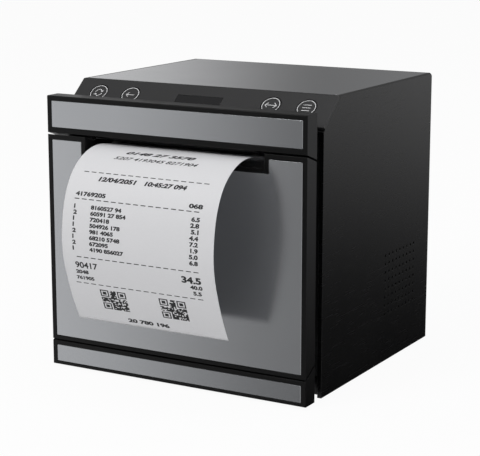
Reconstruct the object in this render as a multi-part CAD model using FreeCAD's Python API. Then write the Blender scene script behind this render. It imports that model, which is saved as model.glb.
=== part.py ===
"""Countertop ticket printer with a drop-down front door, built as separate pieces.

Case frame used while modelling, in millimetres: x to the right, y back from the front face,
z up from the underside of the case. placed() moves a finished piece to the part frame, whose
origin is on the counter under the middle of the whole thing, ticket included.
"""
import FreeCAD, Part
import math
import os
from FreeCAD import Placement, Rotation, Vector

# ---------------------------------------------------------------- driving dimensions
CASE_W = 138.0
CASE_D = 135.0
CASE_H = 136.4
FOOT_H = 1.6
ORIGIN_Y = 52.48
HALF_W = CASE_W / 2

# Front module: two bars and a door, standing off the body by a groove.
MODULE_D = 9.0
BODY_Y = 15.5
WALL = 2.0
PANEL_T = 1.2
PANEL_HALF = 66.7
BOTTOM_BAR_TOP = 11.9
BOTTOM_BAR_BACK = 17.1
DOOR_BOTTOM = 12.8
DOOR_BOTTOM_BACK = 17.9
DOOR_TOP = 112.8
DOOR_TOP_BACK = 109.6
DOOR_BACK_Y = 8.8
LINER_FRONT_Y = 6.8
TOP_BAR_BOTTOM = 113.7
TOP_BAR_BACK = 110.6
TOP_BAR_TOP = 131.1

# Glossy panels: lower and upper edge of each.
TOP_PANEL_Z = (116.1, 128.9)
BOTTOM_PANEL_Z = (1.7, 10.0)
DOOR_PANEL_Z = (14.6, 110.5)

# Paper slot in the top edge of the door.
SLOT_HALF = 47.8
SLOT_FLOOR = 106.1
SLOT_LINING = 2.0

# Sloping control strip; places on it are measured up the slope from its lower edge.
SLOPE_Z = 123.7
SLOPE_BACK_Y = 30.4
STRIP_T = 1.5
KEY_X = (-56.0, -37.9, 37.9, 56.0)
KEY_NAMES = ("cycle_key", "back_key", "swap_key", "menu_key")
KEY_S = 10.8
KEY_R = 4.85
KEY_FLANGE_R = 6.0
WINDOW_HALF = 12.2
WINDOW_H = 4.5
KEY_BOARD_N = -7.0
BOARD_POST_X = (-22, 22)

# Base, rear panel and boards.
TRAY_FLOOR = (0.3, 2.5)
TRAY_Y = (18.8, 131.8)
TRAY_RIB_TOP = 6.5
BOSS_TOP = 10.5
FOOT_R = 7.0
FOOT_RECESS = 0.9
BASE_SCREW_Z = 1.9
BASE_HEAD_R = 2.7
SMALL_HEAD_R = 2.2
REAR_PANEL_Y = 132.2
PANEL_BACK_Y = 134.4
REAR_SCREW_X = 58.0
REAR_SCREW_Z = 120.0
BOARD_Y = (119.9, 121.5)
BOARD_HOLES = [(x, z) for x in (-58, 58) for z in (44, 106)]

# Air slots in the rear panel.
AIR_SLOTS = 8
AIR_SLOT_Z = 70.0
AIR_SLOT_PITCH = 5.0
AIR_SLOT_HALF = 24.0
AIR_SLOT_H = 2.0

# Rear ports as (x, z, half width, half height), and the power inlet and switch.
NETWORK = (8.0, 24.5, 7.9, 6.7)
DRAWER = (31.0, 24.5, 6.3, 6.3)
USB = (-11.0, 24.5, 6.2, 5.6)
SOCKET_DEPTH = 11.0
JACK_R = 5.1
POWER_X = -31.0
POWER_Z = 23.5
SWITCH_X = -52.0
SWITCH_Z = 26.0
SWITCH_HALF_X = 6.5
SWITCH_HALF_Z = 10.4
WELL_HALF_X = 4.9
WELL_HALF_Z = 8.9
ROCKER_PIN_R = 1.2
ROCKER_Y = 130.0
ROCKER_TILT = 8.0

# Speaker and the grid of holes in front of it.
SPEAKER_Y = 99.8
SPEAKER_Z = 38.3
SPEAKER_R = 18.0
VENT_COLUMNS = 9
VENT_ROWS = 8
VENT_PITCH = 4.16
VENT_R = 0.75

# Paper, its roll and the trough that holds it.
PAPER_HALF = 39.9
PAPER_T = 0.2
WEB_T = 0.15
ROLL_R = 34.0
ROLL_Y = 76.0
ROLL_Z = 44.3
CORE_R = 9.0
BAY_R = 41.8
BAY_Z = 51.8
CHEEK_X = (41.2, 42.8)

# Door hinge and platen.
HINGE_X = (55.4, 60.6)
HINGE_Y = 5.2
HINGE_Z = 4.2
HINGE_CHEEK_T = 1.8
PIN_R = 1.5
PLATEN_Y = 27.0
PLATEN_Z = 102.5
PLATEN_R = 5.0
SHAFT_R = 2.0
BUSH_R = 3.9
HEAD_TILT = 15.0
DOOR_SCREW_SPOTS = [(x, z) for x in (-58, 58) for z in (34, 92)]

# Gears: module, pressure angle, tooth counts and the directions of the two meshes. A tooth narrows
# below its base circle by the power UNDERCUT of the radius.
GEAR_M = 0.5
PRESSURE_ANGLE = 20.0
TOOTH_THINNING = 0.07
UNDERCUT = 2.0
FLANK_STEPS = 4
PLATEN_TEETH = 18
IDLER_TEETH = 50
PINION_TEETH = 14
CUTTER_TEETH = 16
IDLER_DIRECTION = -12.0
PINION_DIRECTION = 10.0
GEAR_X0 = -50.0
GEAR_X1 = -46.4
STUD_R = 1.5
MOTOR_SHAFT_R = 1.0
MOTOR_BOSS_R = 3.3

# Cutter: the moving blade slides down past a fixed blade on the door.
BLADE_Y = 15.2
BLADE_T = 1.0
BLADE_TOP = 116.6
BLADE_EDGE = 110.8
FIXED_BLADE_Y = (16.4, 17.4)
FIXED_BLADE_Z = (101.0, 108.2)
FIXED_BLADE_HALF = 42.2
CUTTER_Z = 112.0
RACK_X = 46.5
BRIDGE_Z = (117.4, 119.2)
BRIDGE_TABS = (-45, 0, 45)

# Mechanism chassis.
PLATE_X = (43.2, 44.8)
CHASSIS_Y = (21.0, 74.0)
CHASSIS_TOP = 117.2
FRAME_FOOT_Z = 97.5
HEAD_PIVOT = (8.2, 12.2)
HEAD_PIVOT_R = 1.5
CARRIER = (6.2, 9.4)
FIN_TIP = 12.0
FIN_X = (-36, -30, -8, -4, 0, 4, 8, 30, 36)
HEAD_WALL = (17.6, 19.0)

# Fits shared by many pieces.
RUNNING = 0.07
FIT = 0.2
CLEAR = 0.3
PILOT_R = 1.25
SCREW_WAY_R = 1.3
SCREW_R = 1.2
RIB_HALF = 0.7
PANEL_BREAK = 0.25
LAP = 0.1
PAST = 1.0

PORT_FACE = PANEL_BACK_Y + FIT
SLOPE_RISE = CASE_H - SLOPE_Z
SLOPE_RUN = SLOPE_BACK_Y - BODY_Y
SLOPE_LENGTH = math.hypot(SLOPE_RUN, SLOPE_RISE)
SLOPE_ANGLE = math.degrees(math.atan2(SLOPE_RISE, SLOPE_RUN))
UP_SLOPE = Vector(0, SLOPE_RUN / SLOPE_LENGTH, SLOPE_RISE / SLOPE_LENGTH)

X_AXIS = Vector(1, 0, 0)
Y_AXIS = Vector(0, 1, 0)
Z_AXIS = Vector(0, 0, 1)


# ---------------------------------------------------------------- shape helpers
def box(x0, x1, y0, y1, z0, z1):
    return Part.makeBox(x1 - x0, y1 - y0, z1 - z0, Vector(x0, y0, z0))


def rod_x(x0, x1, y, z, r):
    return Part.makeCylinder(r, x1 - x0, Vector(x0, y, z), X_AXIS)


def rod_y(y0, y1, x, z, r):
    return Part.makeCylinder(r, y1 - y0, Vector(x, y0, z), Y_AXIS)


def rod_z(z0, z1, x, y, r):
    return Part.makeCylinder(r, z1 - z0, Vector(x, y, z0), Z_AXIS)


def corner_arc(before, here, after, radius):
    """Start, middle and end of the arc that rounds the corner at here."""
    back = before - here
    onward = after - here
    half = back.getAngle(onward) / 2
    back.normalize()
    onward.normalize()
    reach = radius / math.tan(half)
    inward = (back + onward).normalize()
    middle = here + inward * (radius / math.sin(half) - radius)
    return here + back * reach, middle, here + onward * reach


def outline(corners, place):
    """Closed wire through (a, b) or (a, b, radius) corners; place(a, b) gives the point in space."""
    spots = [Vector(corner[0], corner[1], 0) for corner in corners]
    turns = []
    for index, corner in enumerate(corners):
        here = spots[index]
        if len(corner) == 2:
            turns.append((here, None, here))
        else:
            following = spots[(index + 1) % len(spots)]
            turns.append(corner_arc(spots[index - 1], here, following, corner[2]))
    edges = []
    for index, (start, middle, end) in enumerate(turns):
        target = turns[(index + 1) % len(turns)][0]
        if middle is not None:
            arc = Part.Arc(place(start.x, start.y), place(middle.x, middle.y), place(end.x, end.y))
            edges.append(arc.toShape())
        if (target - end).Length > 1e-6:
            edges.append(Part.LineSegment(place(end.x, end.y), place(target.x, target.y)).toShape())
    return Part.Wire(edges)


def side_prism(corners, x0, x1):
    """Solid whose side outline is given as (y, z) corners."""
    wire = outline(corners, lambda y, z: Vector(x0, y, z))
    return Part.Face(wire).extrude(Vector(x1 - x0, 0, 0))


def front_prism(corners, y0, y1):
    """Solid whose front outline is given as (x, z) corners."""
    wire = outline(corners, lambda x, z: Vector(x, y0, z))
    return Part.Face(wire).extrude(Vector(0, y1 - y0, 0))


def top_prism(corners, z0, z1):
    """Solid whose plan outline is given as (x, y) corners."""
    wire = outline(corners, lambda x, y: Vector(x, y, z0))
    return Part.Face(wire).extrude(Vector(0, 0, z1 - z0))


def rectangle(a0, a1, b0, b1, radius):
    return [(a0, b0, radius), (a1, b0, radius), (a1, b1, radius), (a0, b1, radius)]


def joined(shapes):
    first = shapes[0]
    return first.fuse(list(shapes[1:])).removeSplitter() if len(shapes) > 1 else first


def less(shape, tools):
    return shape.cut(list(tools)).removeSplitter()


def both_sides(shape):
    """The shape and its mirror image across the middle of the case."""
    return [shape, shape.mirror(Vector(0, 0, 0), X_AXIS)]


def chamfered(shape, size, chosen):
    """Chamfer the edges for which chosen(edge) is true."""
    edges = [edge for edge in shape.Edges if chosen(edge)]
    return shape.makeChamfer(size, edges)


SLOPE_PLACE = Placement(Vector(0, BODY_Y, SLOPE_Z), Rotation(X_AXIS, SLOPE_ANGLE))
HEAD_PLACE = Placement(Vector(0, PLATEN_Y, PLATEN_Z), Rotation(X_AXIS, HEAD_TILT))


def on_slope(shape):
    """Move a shape drawn with y up the slope and z out of it, from its lower edge."""
    return shape.transformed(SLOPE_PLACE.toMatrix())


def at_head(shape):
    """Move a shape drawn with y away from the platen and z along the print head."""
    return shape.transformed(HEAD_PLACE.toMatrix())


def along(centre, distance, degrees):
    """Point at a distance and direction from a centre."""
    angle = math.radians(degrees)
    return (centre[0] + distance * math.cos(angle), centre[1] + distance * math.sin(angle))


# ---------------------------------------------------------------- gears
def pitch_radius(teeth):
    return GEAR_M * teeth / 2


def involute(angle):
    return math.tan(angle) - angle


def half_tooth_angle(teeth, radius):
    """Half the tooth's angle at a radius, in degrees; below the base circle the flank is undercut."""
    pitch_r = pitch_radius(teeth)
    pressure = math.radians(PRESSURE_ANGLE)
    base_r = pitch_r * math.cos(pressure)
    at_pitch = (math.pi * GEAR_M / 4 - TOOTH_THINNING) / pitch_r
    if radius >= base_r:
        local = math.acos(base_r / radius)
        return math.degrees(at_pitch + involute(pressure) - involute(local))
    at_base = at_pitch + involute(pressure)
    return math.degrees(at_base) * (radius / base_r) ** UNDERCUT


def gear_blank(teeth, first_tooth, width, bore):
    """Spur gear about the z axis, one tooth centred at the angle first_tooth in degrees."""
    tip_r = pitch_radius(teeth) + 0.9 * GEAR_M
    root_r = pitch_radius(teeth) - 1.2 * GEAR_M
    flank = [root_r + (tip_r - root_r) * step / (FLANK_STEPS - 1) for step in range(FLANK_STEPS)]
    rising = [(radius, -half_tooth_angle(teeth, radius)) for radius in flank]
    falling = [(radius, -offset) for radius, offset in reversed(rising)]
    points = []
    for tooth in range(teeth):
        centre = first_tooth + tooth * 360.0 / teeth
        for radius, offset in rising + falling:
            points.append(Vector(*along((0, 0), radius, centre + offset), 0))
    wire = Part.makePolygon(points + points[:1])
    blank = Part.Face(wire).extrude(Vector(0, 0, width))
    if bore > 0:
        blank = blank.cut(Part.makeCylinder(bore, width))
    return blank


def gear_x(x0, x1, centre, teeth, first_tooth, bore):
    """Gear about an x axis; angles are measured from +y towards +z."""
    gear = gear_blank(teeth, first_tooth, x1 - x0, bore)
    turn = Rotation(Y_AXIS, Z_AXIS, X_AXIS, "XYZ")
    return gear.transformed(Placement(Vector(x0, centre[0], centre[1]), turn).toMatrix())


PLATEN_C = (PLATEN_Y, PLATEN_Z)
IDLER_C = along(PLATEN_C, pitch_radius(PLATEN_TEETH + IDLER_TEETH), IDLER_DIRECTION)
PINION_C = along(IDLER_C, pitch_radius(IDLER_TEETH + PINION_TEETH), PINION_DIRECTION)
CUTTER_X = RACK_X + pitch_radius(CUTTER_TEETH)
IDLER_FIRST = IDLER_DIRECTION + 180 + 180.0 / IDLER_TEETH


def pinion_first():
    """Angle that puts a gap of the pinion where the idler's nearest tooth comes."""
    step = 360.0 / IDLER_TEETH
    offset = (PINION_DIRECTION - IDLER_FIRST) % step
    return PINION_DIRECTION + 180 + offset * IDLER_TEETH / PINION_TEETH + 180.0 / PINION_TEETH


# ---------------------------------------------------------------- case
def outer_case():
    """The closed outer form of the body: square back, sloping front edge."""
    corners = [
        (BODY_Y, 0),
        (CASE_D, 0),
        (CASE_D, CASE_H, 2.0),
        (SLOPE_BACK_Y, CASE_H),
        (BODY_Y, SLOPE_Z),
    ]
    return side_prism(corners, -HALF_W, HALF_W)


def is_long_top_edge(edge):
    """True for the top edge of either side, and for its rounded end at the back."""
    bounds = edge.BoundBox
    flat = bounds.XLength < LAP and HALF_W - abs(bounds.Center.x) < LAP
    return flat and bounds.YMin > SLOPE_BACK_Y - LAP and bounds.ZMin > CASE_H - 2.1


def case_hollow():
    """Room inside the shell: open below, in front and at the back, with a shelf under the slope."""
    inside = HALF_W - WALL
    shelf = STRIP_T + 1.7
    ceiling = CASE_H - PANEL_T - WALL
    back_opening_top = 130.2
    beyond = 5.0
    shelf_front = SLOPE_Z - shelf / UP_SLOPE.y
    run_to_ceiling = (ceiling - shelf_front) * SLOPE_RUN / SLOPE_RISE
    corners = [
        (BODY_Y - beyond, -beyond),
        (BODY_Y - beyond, shelf_front - beyond * SLOPE_RISE / SLOPE_RUN),
        (BODY_Y + run_to_ceiling, ceiling),
        (CASE_D - WALL, ceiling),
        (CASE_D - WALL, back_opening_top),
        (CASE_D + beyond, back_opening_top),
        (CASE_D + beyond, -beyond),
    ]
    return side_prism(corners, -inside, inside)


def vent_holes():
    """Grid of small holes in the right side, centred on the speaker."""
    holes = []
    for column in range(VENT_COLUMNS):
        for row in range(VENT_ROWS):
            y = SPEAKER_Y + (column - (VENT_COLUMNS - 1) / 2) * VENT_PITCH
            z = SPEAKER_Z + (row - (VENT_ROWS - 1) / 2) * VENT_PITCH
            holes.append(rod_x(HALF_W - WALL - PAST, HALF_W + PAST, y, z, VENT_R))
    return holes


def slope_rod(x, n0, n1, r):
    """Cylinder square to the slope at a key's or post's place."""
    return on_slope(rod_z(n0, n1, x, KEY_S, r))


def case_fittings():
    """Inside the shell: stiffening ribs, base screw bosses and the lugs of the rear panel."""
    inside = HALF_W - WALL
    ceiling = CASE_H - PANEL_T - WALL
    rib_depth = 1.2
    fittings = []
    for y in (34, 56, 76):
        fittings += both_sides(box(inside - rib_depth, inside + LAP, y, y + rib_depth, 12, ceiling + LAP))
    boss_half = 3.8
    for x, y in screw_spots():
        if x > 0:
            boss = box(x - boss_half, inside + LAP, y - boss_half, y + boss_half, BOSS_TOP, BOSS_TOP + 4.5)
            fittings += both_sides(boss)
    lug_y = 124
    lug_z = (116, 123)
    lug = box(REAR_SCREW_X - 4, REAR_SCREW_X + 3.6, lug_y, REAR_PANEL_Y, *lug_z)
    web = box(REAR_SCREW_X + 3, inside + LAP, lug_y, 130.5, *lug_z)
    return fittings + both_sides(lug) + both_sides(web)


def case_shell():
    """One moulding: both sides, the top and the shelf under the control strip."""
    shell = chamfered(outer_case(), 0.7, is_long_top_edge)
    strip_bed = on_slope(box(-HALF_W - 1, HALF_W + 1, -3, SLOPE_LENGTH - LAP, -STRIP_T, 5))
    top_bed = top_prism(top_panel_outline(CLEAR, 1.0), CASE_H - PANEL_T, CASE_H + PAST)
    key_ways = [slope_rod(x, -5, 1, KEY_FLANGE_R + 0.7) for x in KEY_X]
    window = on_slope(box(-WINDOW_HALF - 1, WINDOW_HALF + 1, KEY_S - 3.6, KEY_S + 3.6, -5, 1))
    shell = less(shell, [case_hollow(), strip_bed, top_bed, window] + key_ways + vent_holes())
    posts = [slope_rod(x, KEY_BOARD_N, -STRIP_T - 1.6, 2.2) for x in BOARD_POST_X]
    pilots = [rod_z(BOSS_TOP - 1, BOSS_TOP + 3.0, x, y, PILOT_R) for x, y in screw_spots()]
    pilots += [rod_y(128, REAR_PANEL_Y + 1, x, REAR_SCREW_Z, PILOT_R) for x in (-REAR_SCREW_X, REAR_SCREW_X)]
    return less(joined([shell] + posts + case_fittings()), pilots)


def top_panel_outline(gap, radius):
    """Plan outline of the glossy top plate, or with a gap that of its bed."""
    half = PANEL_HALF + 0.6 + gap
    return rectangle(-half, half, SLOPE_BACK_Y + 1.0 - gap, CASE_D - 2.2 + gap, radius)


def top_panel():
    plate = top_prism(top_panel_outline(0, 0.8), CASE_H - PANEL_T, CASE_H)
    return chamfered(plate, PANEL_BREAK, lambda edge: edge.BoundBox.ZMin > CASE_H - 0.01)


def screw_spots():
    return [(x, y) for x in (-59, 59) for y in (48, 126.5)]


def foot_spots():
    return [(x, y) for x in (-52, 52) for y in (36, 114)]


def base_tray():
    """Floor of the case: plate, rim, ribs, screw bosses and the pads that carry the paper bay."""
    half = HALF_W - WALL - FIT
    y0, y1 = TRAY_Y
    rim_t = 1.8
    rim_top = 9.0
    floor = top_prism(rectangle(-half, half, y0, y1, 2.0), *TRAY_FLOOR)
    rim = top_prism(rectangle(-half, half, y0, y1, 2.0), TRAY_FLOOR[1], rim_top)
    within = rectangle(-half + rim_t, half - rim_t, y0 + rim_t, y1 - rim_t, 1.0)
    room = top_prism(within, TRAY_FLOOR[1] - LAP, rim_top + PAST)
    rib_z = (TRAY_FLOOR[1] - LAP, TRAY_RIB_TOP)
    rib_half = 0.8
    pieces = [floor, rim.cut(room)]
    pieces += [box(x - rib_half, x + rib_half, y0 + 1, y1 - 1, *rib_z) for x in (-30, -10, 10, 30)]
    pieces += [box(-half + 1, half - 1, y - rib_half, y + rib_half, *rib_z) for y in (48, 76, 104)]
    pieces += [rod_z(rib_z[0], BOSS_TOP, x, y, 3.6) for x, y in screw_spots()]
    holes = []
    for x, y in screw_spots():
        holes.append(rod_z(-PAST, BOSS_TOP + PAST, x, y, SCREW_WAY_R))
        holes.append(rod_z(-PAST, BASE_SCREW_Z, x, y, BASE_HEAD_R + FIT))
    holes += [rod_z(-PAST, FOOT_RECESS, x, y, FOOT_R + FIT) for x, y in foot_spots()]
    return less(joined(pieces), holes)


def rubber_feet():
    """Four stuck-on feet with a tapered lower edge and a shallow dish."""
    taper = 0.8
    feet = []
    for x, y in foot_spots():
        tread = Part.makeCone(FOOT_R - taper, FOOT_R, taper, Vector(x, y, -FOOT_H), Z_AXIS)
        pad = rod_z(-FOOT_H + taper, FOOT_RECESS, x, y, FOOT_R)
        dish = rod_z(-FOOT_H - PAST, -FOOT_H + 0.5, x, y, FOOT_R / 2)
        feet.append(less(joined([tread, pad]), [dish]))
    return Part.makeCompound(feet)


def screw(x, y, z, direction, head_r, length):
    """Pan head screw; direction points out of the head, the head's underside is at the given point."""
    seat = Vector(x, y, z)
    head_h = 1.0
    socket_h = head_h / 2
    head = Part.makeCylinder(head_r, head_h, seat, direction)
    shank = Part.makeCylinder(SCREW_R, length, seat - direction * length, direction)
    socket = Part.makeCylinder(head_r * 0.45, head_h, seat + direction * socket_h, direction)
    return less(joined([head, shank]), [socket])


def case_screws():
    """Four screws in the base and two in the rear panel."""
    screws = [screw(x, y, BASE_SCREW_Z, -Z_AXIS, BASE_HEAD_R, 11.0) for x, y in screw_spots()]
    for x in (-REAR_SCREW_X, REAR_SCREW_X):
        screws.append(screw(x, PANEL_BACK_Y, REAR_SCREW_Z, Y_AXIS, SMALL_HEAD_R, 5.0))
    return Part.makeCompound(screws)


def rear_panel():
    """Plate across the back, with port openings, air slots and a turned edge."""
    half = HALF_W - WALL - FIT
    cut_y = (130.0, 136.0)
    plate = front_prism(rectangle(-half, half, 0.4, 129.9, 1.5), REAR_PANEL_Y, PANEL_BACK_Y)
    ring = front_prism(rectangle(-half + 3, half - 3, 12, 126, 2.0), 130.6, REAR_PANEL_Y)
    ring = ring.cut(front_prism(rectangle(-half + 5, half - 5, 14, 124, 1.5), 130, 133))
    standoffs = [rod_y(BOARD_Y[1], REAR_PANEL_Y, x, z, 3.0) for x, z in BOARD_HOLES]
    tools = []
    for x, z, wide, high in (NETWORK, DRAWER, USB):
        reach_x = wide + CLEAR
        reach_z = high + CLEAR
        tools.append(box(x - reach_x, x + reach_x, *cut_y, z - reach_z, z + reach_z))
    tools.append(rod_y(*cut_y, POWER_X, POWER_Z, JACK_R + CLEAR))
    tools.append(switch_block(SWITCH_HALF_X + 0.4, SWITCH_HALF_Z + CLEAR, *cut_y))
    for row in range(AIR_SLOTS):
        z = AIR_SLOT_Z + AIR_SLOT_PITCH * row
        tools.append(front_prism(rectangle(-AIR_SLOT_HALF, AIR_SLOT_HALF, z, z + AIR_SLOT_H, 0.95), *cut_y))
    tools += [rod_y(*cut_y, x, REAR_SCREW_Z, SCREW_WAY_R) for x in (-REAR_SCREW_X, REAR_SCREW_X)]
    return less(joined([plate, ring] + standoffs), tools)


# ---------------------------------------------------------------- controls
def window_block(grow, n0, n1):
    """Block on the slope of the display window's size, larger by grow on each side."""
    half_s = WINDOW_H / 2 + grow
    return on_slope(box(-WINDOW_HALF - grow, WINDOW_HALF + grow, KEY_S - half_s, KEY_S + half_s, n0, n1))


def control_strip():
    """Dark strip on the slope, with round key holes and a window."""
    strip = on_slope(box(-HALF_W, HALF_W, 0.15, SLOPE_LENGTH - 0.25, -STRIP_T, 0))
    strip = strip.common(outer_case())
    holes = [slope_rod(x, -3, 1, KEY_R + CLEAR) for x in KEY_X]
    return less(strip, holes + [window_block(0.15, -3, 1)])


def display_lens():
    """Smoked window with a flange behind the strip."""
    pane = window_block(0, -STRIP_T, -0.05)
    flange = window_block(0.8, -STRIP_T - 0.9, -STRIP_T)
    return joined([pane, flange])


def display_module():
    body = window_block(1.75, KEY_BOARD_N, -4.6)
    glass = window_block(0.35, -4.6, -3.6)
    return joined([body, glass])


def key(x):
    """Round flush key: cap with a chamfered rim, retaining flange and a foot over its switch."""
    cap = rod_z(-STRIP_T - FIT, 0, x, KEY_S, KEY_R)
    cap = chamfered(cap, 0.2, lambda edge: edge.BoundBox.ZMin > -0.01)
    flange = rod_z(-STRIP_T - 1.0, -STRIP_T - FIT, x, KEY_S, KEY_FLANGE_R)
    foot = rod_z(-STRIP_T - 1.3, -STRIP_T - 1.0, x, KEY_S, 1.6)
    return on_slope(joined([cap, flange, foot]))


def key_board():
    """Board under the strip, on two posts, with a connector on its underside."""
    under = KEY_BOARD_N - 1.6
    board = box(-64.5, 64.5, 3.4, 17.4, under, KEY_BOARD_N)
    holes = [rod_z(under - PAST, KEY_BOARD_N + PAST, x, KEY_S, 1.1) for x in BOARD_POST_X]
    connector = box(-6, 6, 12, 16, under - 4.0, under)
    return on_slope(joined([less(board, holes), connector]))


def tact_switches():
    """Four square push switches on the board, one under each key."""
    half = 3.0
    top = -4.1
    switches = []
    for x in KEY_X:
        body = box(x - half, x + half, KEY_S - half, KEY_S + half, KEY_BOARD_N, top)
        plunger = rod_z(top, top + 0.4, x, KEY_S, 1.7)
        switches.append(on_slope(joined([body, plunger])))
    return Part.makeCompound(switches)


# ---------------------------------------------------------------- front bars
def bar_bed(panel_z, radius):
    """Recess in the front of a bar for its glossy insert."""
    half = PANEL_HALF + LAP
    return front_prism(rectangle(-half, half, panel_z[0] - LAP, panel_z[1] + LAP, radius), -PAST, PANEL_T)


def top_bar_frame():
    """Long bar over the door; its underside carries the tear-off tongue between two notches."""
    corners = [
        (0, TOP_BAR_BOTTOM),
        (MODULE_D, TOP_BAR_BACK),
        (MODULE_D, TOP_BAR_TOP, 0.5),
        (0, TOP_BAR_TOP, 0.5),
    ]
    bar = side_prism(corners, -HALF_W, HALF_W)
    pocket_y = (3.2, MODULE_D + PAST)
    pocket = box(-HALF_W + WALL, HALF_W - WALL, *pocket_y, 115.4, 129.1)
    notch_top = 113.9
    notch_corners = [(38.8, 110.0), (42.3, notch_top), (SLOT_HALF, notch_top), (SLOT_HALF, 110.0)]
    notch = front_prism(notch_corners, 1.4, MODULE_D + PAST)
    bar = less(bar, [bar_bed(TOP_PANEL_Z, 0.6), pocket] + both_sides(notch))
    ribs = [box(x - RIB_HALF, x + RIB_HALF, 3.0, 8.6, 115.0, 129.2) for x in (-60, -30, -15, 15, 30, 60)]
    seats = [box(x - 5, x + 5, 3.0, MODULE_D - LAP, 115.2, BRIDGE_Z[0]) for x in BRIDGE_TABS]
    return joined([bar] + ribs + seats)


def bar_panel(panel_z):
    """Glossy insert of a bar, flush with the front face, its edge lightly broken."""
    plate = front_prism(rectangle(-PANEL_HALF, PANEL_HALF, *panel_z, 0.5), 0, PANEL_T)
    return chamfered(plate, PANEL_BREAK, lambda edge: edge.BoundBox.YMax < 0.01)


def top_bar_panel():
    return bar_panel(TOP_PANEL_Z)


def bottom_bar_panel():
    return bar_panel(BOTTOM_PANEL_Z)


def bottom_bar_frame():
    """Hollow bar under the door. Slots in its top and back let the curved hinge arms swing."""
    corners = [(0, 0, 0.5), (MODULE_D, 0), (MODULE_D, BOTTOM_BAR_BACK), (0, BOTTOM_BAR_TOP)]
    bar = side_prism(corners, -HALF_W, HALF_W)
    beyond = MODULE_D + PAST
    floor = 1.2
    pocket_corners = [(2.8, floor), (beyond, floor), (beyond, 14.6), (2.8, 11.2)]
    pocket = side_prism(pocket_corners, -HALF_W + WALL, HALF_W - WALL)
    slot_front = 1.9
    slot = side_prism([(slot_front, 1.1), (beyond, -1), (beyond, 20), (slot_front, 20)], *HINGE_X)
    bar = less(bar, [bar_bed(BOTTOM_PANEL_Z, 0.5), pocket] + both_sides(slot))
    cheek_corners = [(1.5, 1.0), (8.8, 1.0), (8.8, 15.6), (1.5, 12.0)]
    rib_corners = [(2.6, 1.0), (8.6, 1.0), (8.6, 15.0), (2.6, 11.6)]
    added = []
    for x0 in (HINGE_X[0] - HINGE_CHEEK_T, HINGE_X[1]):
        added += both_sides(side_prism(cheek_corners, x0, x0 + HINGE_CHEEK_T))
    added += [side_prism(rib_corners, x - RIB_HALF, x + RIB_HALF) for x in (-15, 15)]
    added += [box(x - 7, x + 7, 2.6, TRAY_Y[0], TRAY_FLOOR[0], 6.0) for x in (-38, 38)]
    bore = rod_x(HINGE_X[0] - 3, HINGE_X[1] + 3, HINGE_Y, HINGE_Z, PIN_R)
    return less(joined([bar] + added), both_sides(bore))


def hinge_pins():
    pin = rod_x(HINGE_X[0] - HINGE_CHEEK_T, HINGE_X[1] + HINGE_CHEEK_T, HINGE_Y, HINGE_Z, PIN_R)
    return Part.makeCompound(both_sides(pin))


# ---------------------------------------------------------------- front bulkhead
def front_bulkhead():
    """Inner front wall with the loading opening; a bridge and tabs carry the top bar."""
    half = HALF_W - WALL - CLEAR
    wall_y = (19.0, 21.0)
    bridge_half = 60.0
    plate = front_prism(rectangle(-half, half, 9.0, BRIDGE_Z[1], 1.0), *wall_y)
    opening = front_prism(rectangle(-56.5, 56.5, 14.5, 109.0, 3.0), wall_y[0] - PAST, wall_y[1] + PAST)
    bridge = box(-bridge_half, bridge_half, MODULE_D + LAP, wall_y[0] + 0.5, *BRIDGE_Z)
    tabs = [box(x - 6, x + 6, 3.6, MODULE_D + 2 * LAP, *BRIDGE_Z) for x in BRIDGE_TABS]
    rails = [box(x, x + 2, wall_y[1], wall_y[1] + 3.0, 12, 116) for x in (-64.5, 62.5)]
    wall = joined([plate.cut(opening), bridge] + tabs + rails)
    shaft_way = rod_y(wall_y[0] - PAST, wall_y[1] + PAST, CUTTER_X, CUTTER_Z, 2.2)
    pinion_way = rod_y(wall_y[0] - PAST, wall_y[0] + 0.6, CUTTER_X, CUTTER_Z, 5.0)
    rack_way = box(42.0, 47.6, wall_y[0] - PAST, wall_y[0] + 0.4, CUTTER_Z - 6, CUTTER_Z + 6)
    return less(wall, [shaft_way, pinion_way, rack_way])


# ---------------------------------------------------------------- door
def notched_plate(x_span, z_span, notch_x, notch_floor, radius, notch_radius=None):
    """Front outline of a plate whose top edge steps down between -notch_x and notch_x."""
    low, high = z_span
    inner = radius if notch_radius is None else notch_radius
    return [
        (x_span[0], low, radius),
        (x_span[1], low, radius),
        (x_span[1], high, radius),
        (notch_x, high, inner),
        (notch_x, notch_floor, inner),
        (-notch_x, notch_floor, inner),
        (-notch_x, high, inner),
        (x_span[0], high, radius),
    ]


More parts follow.
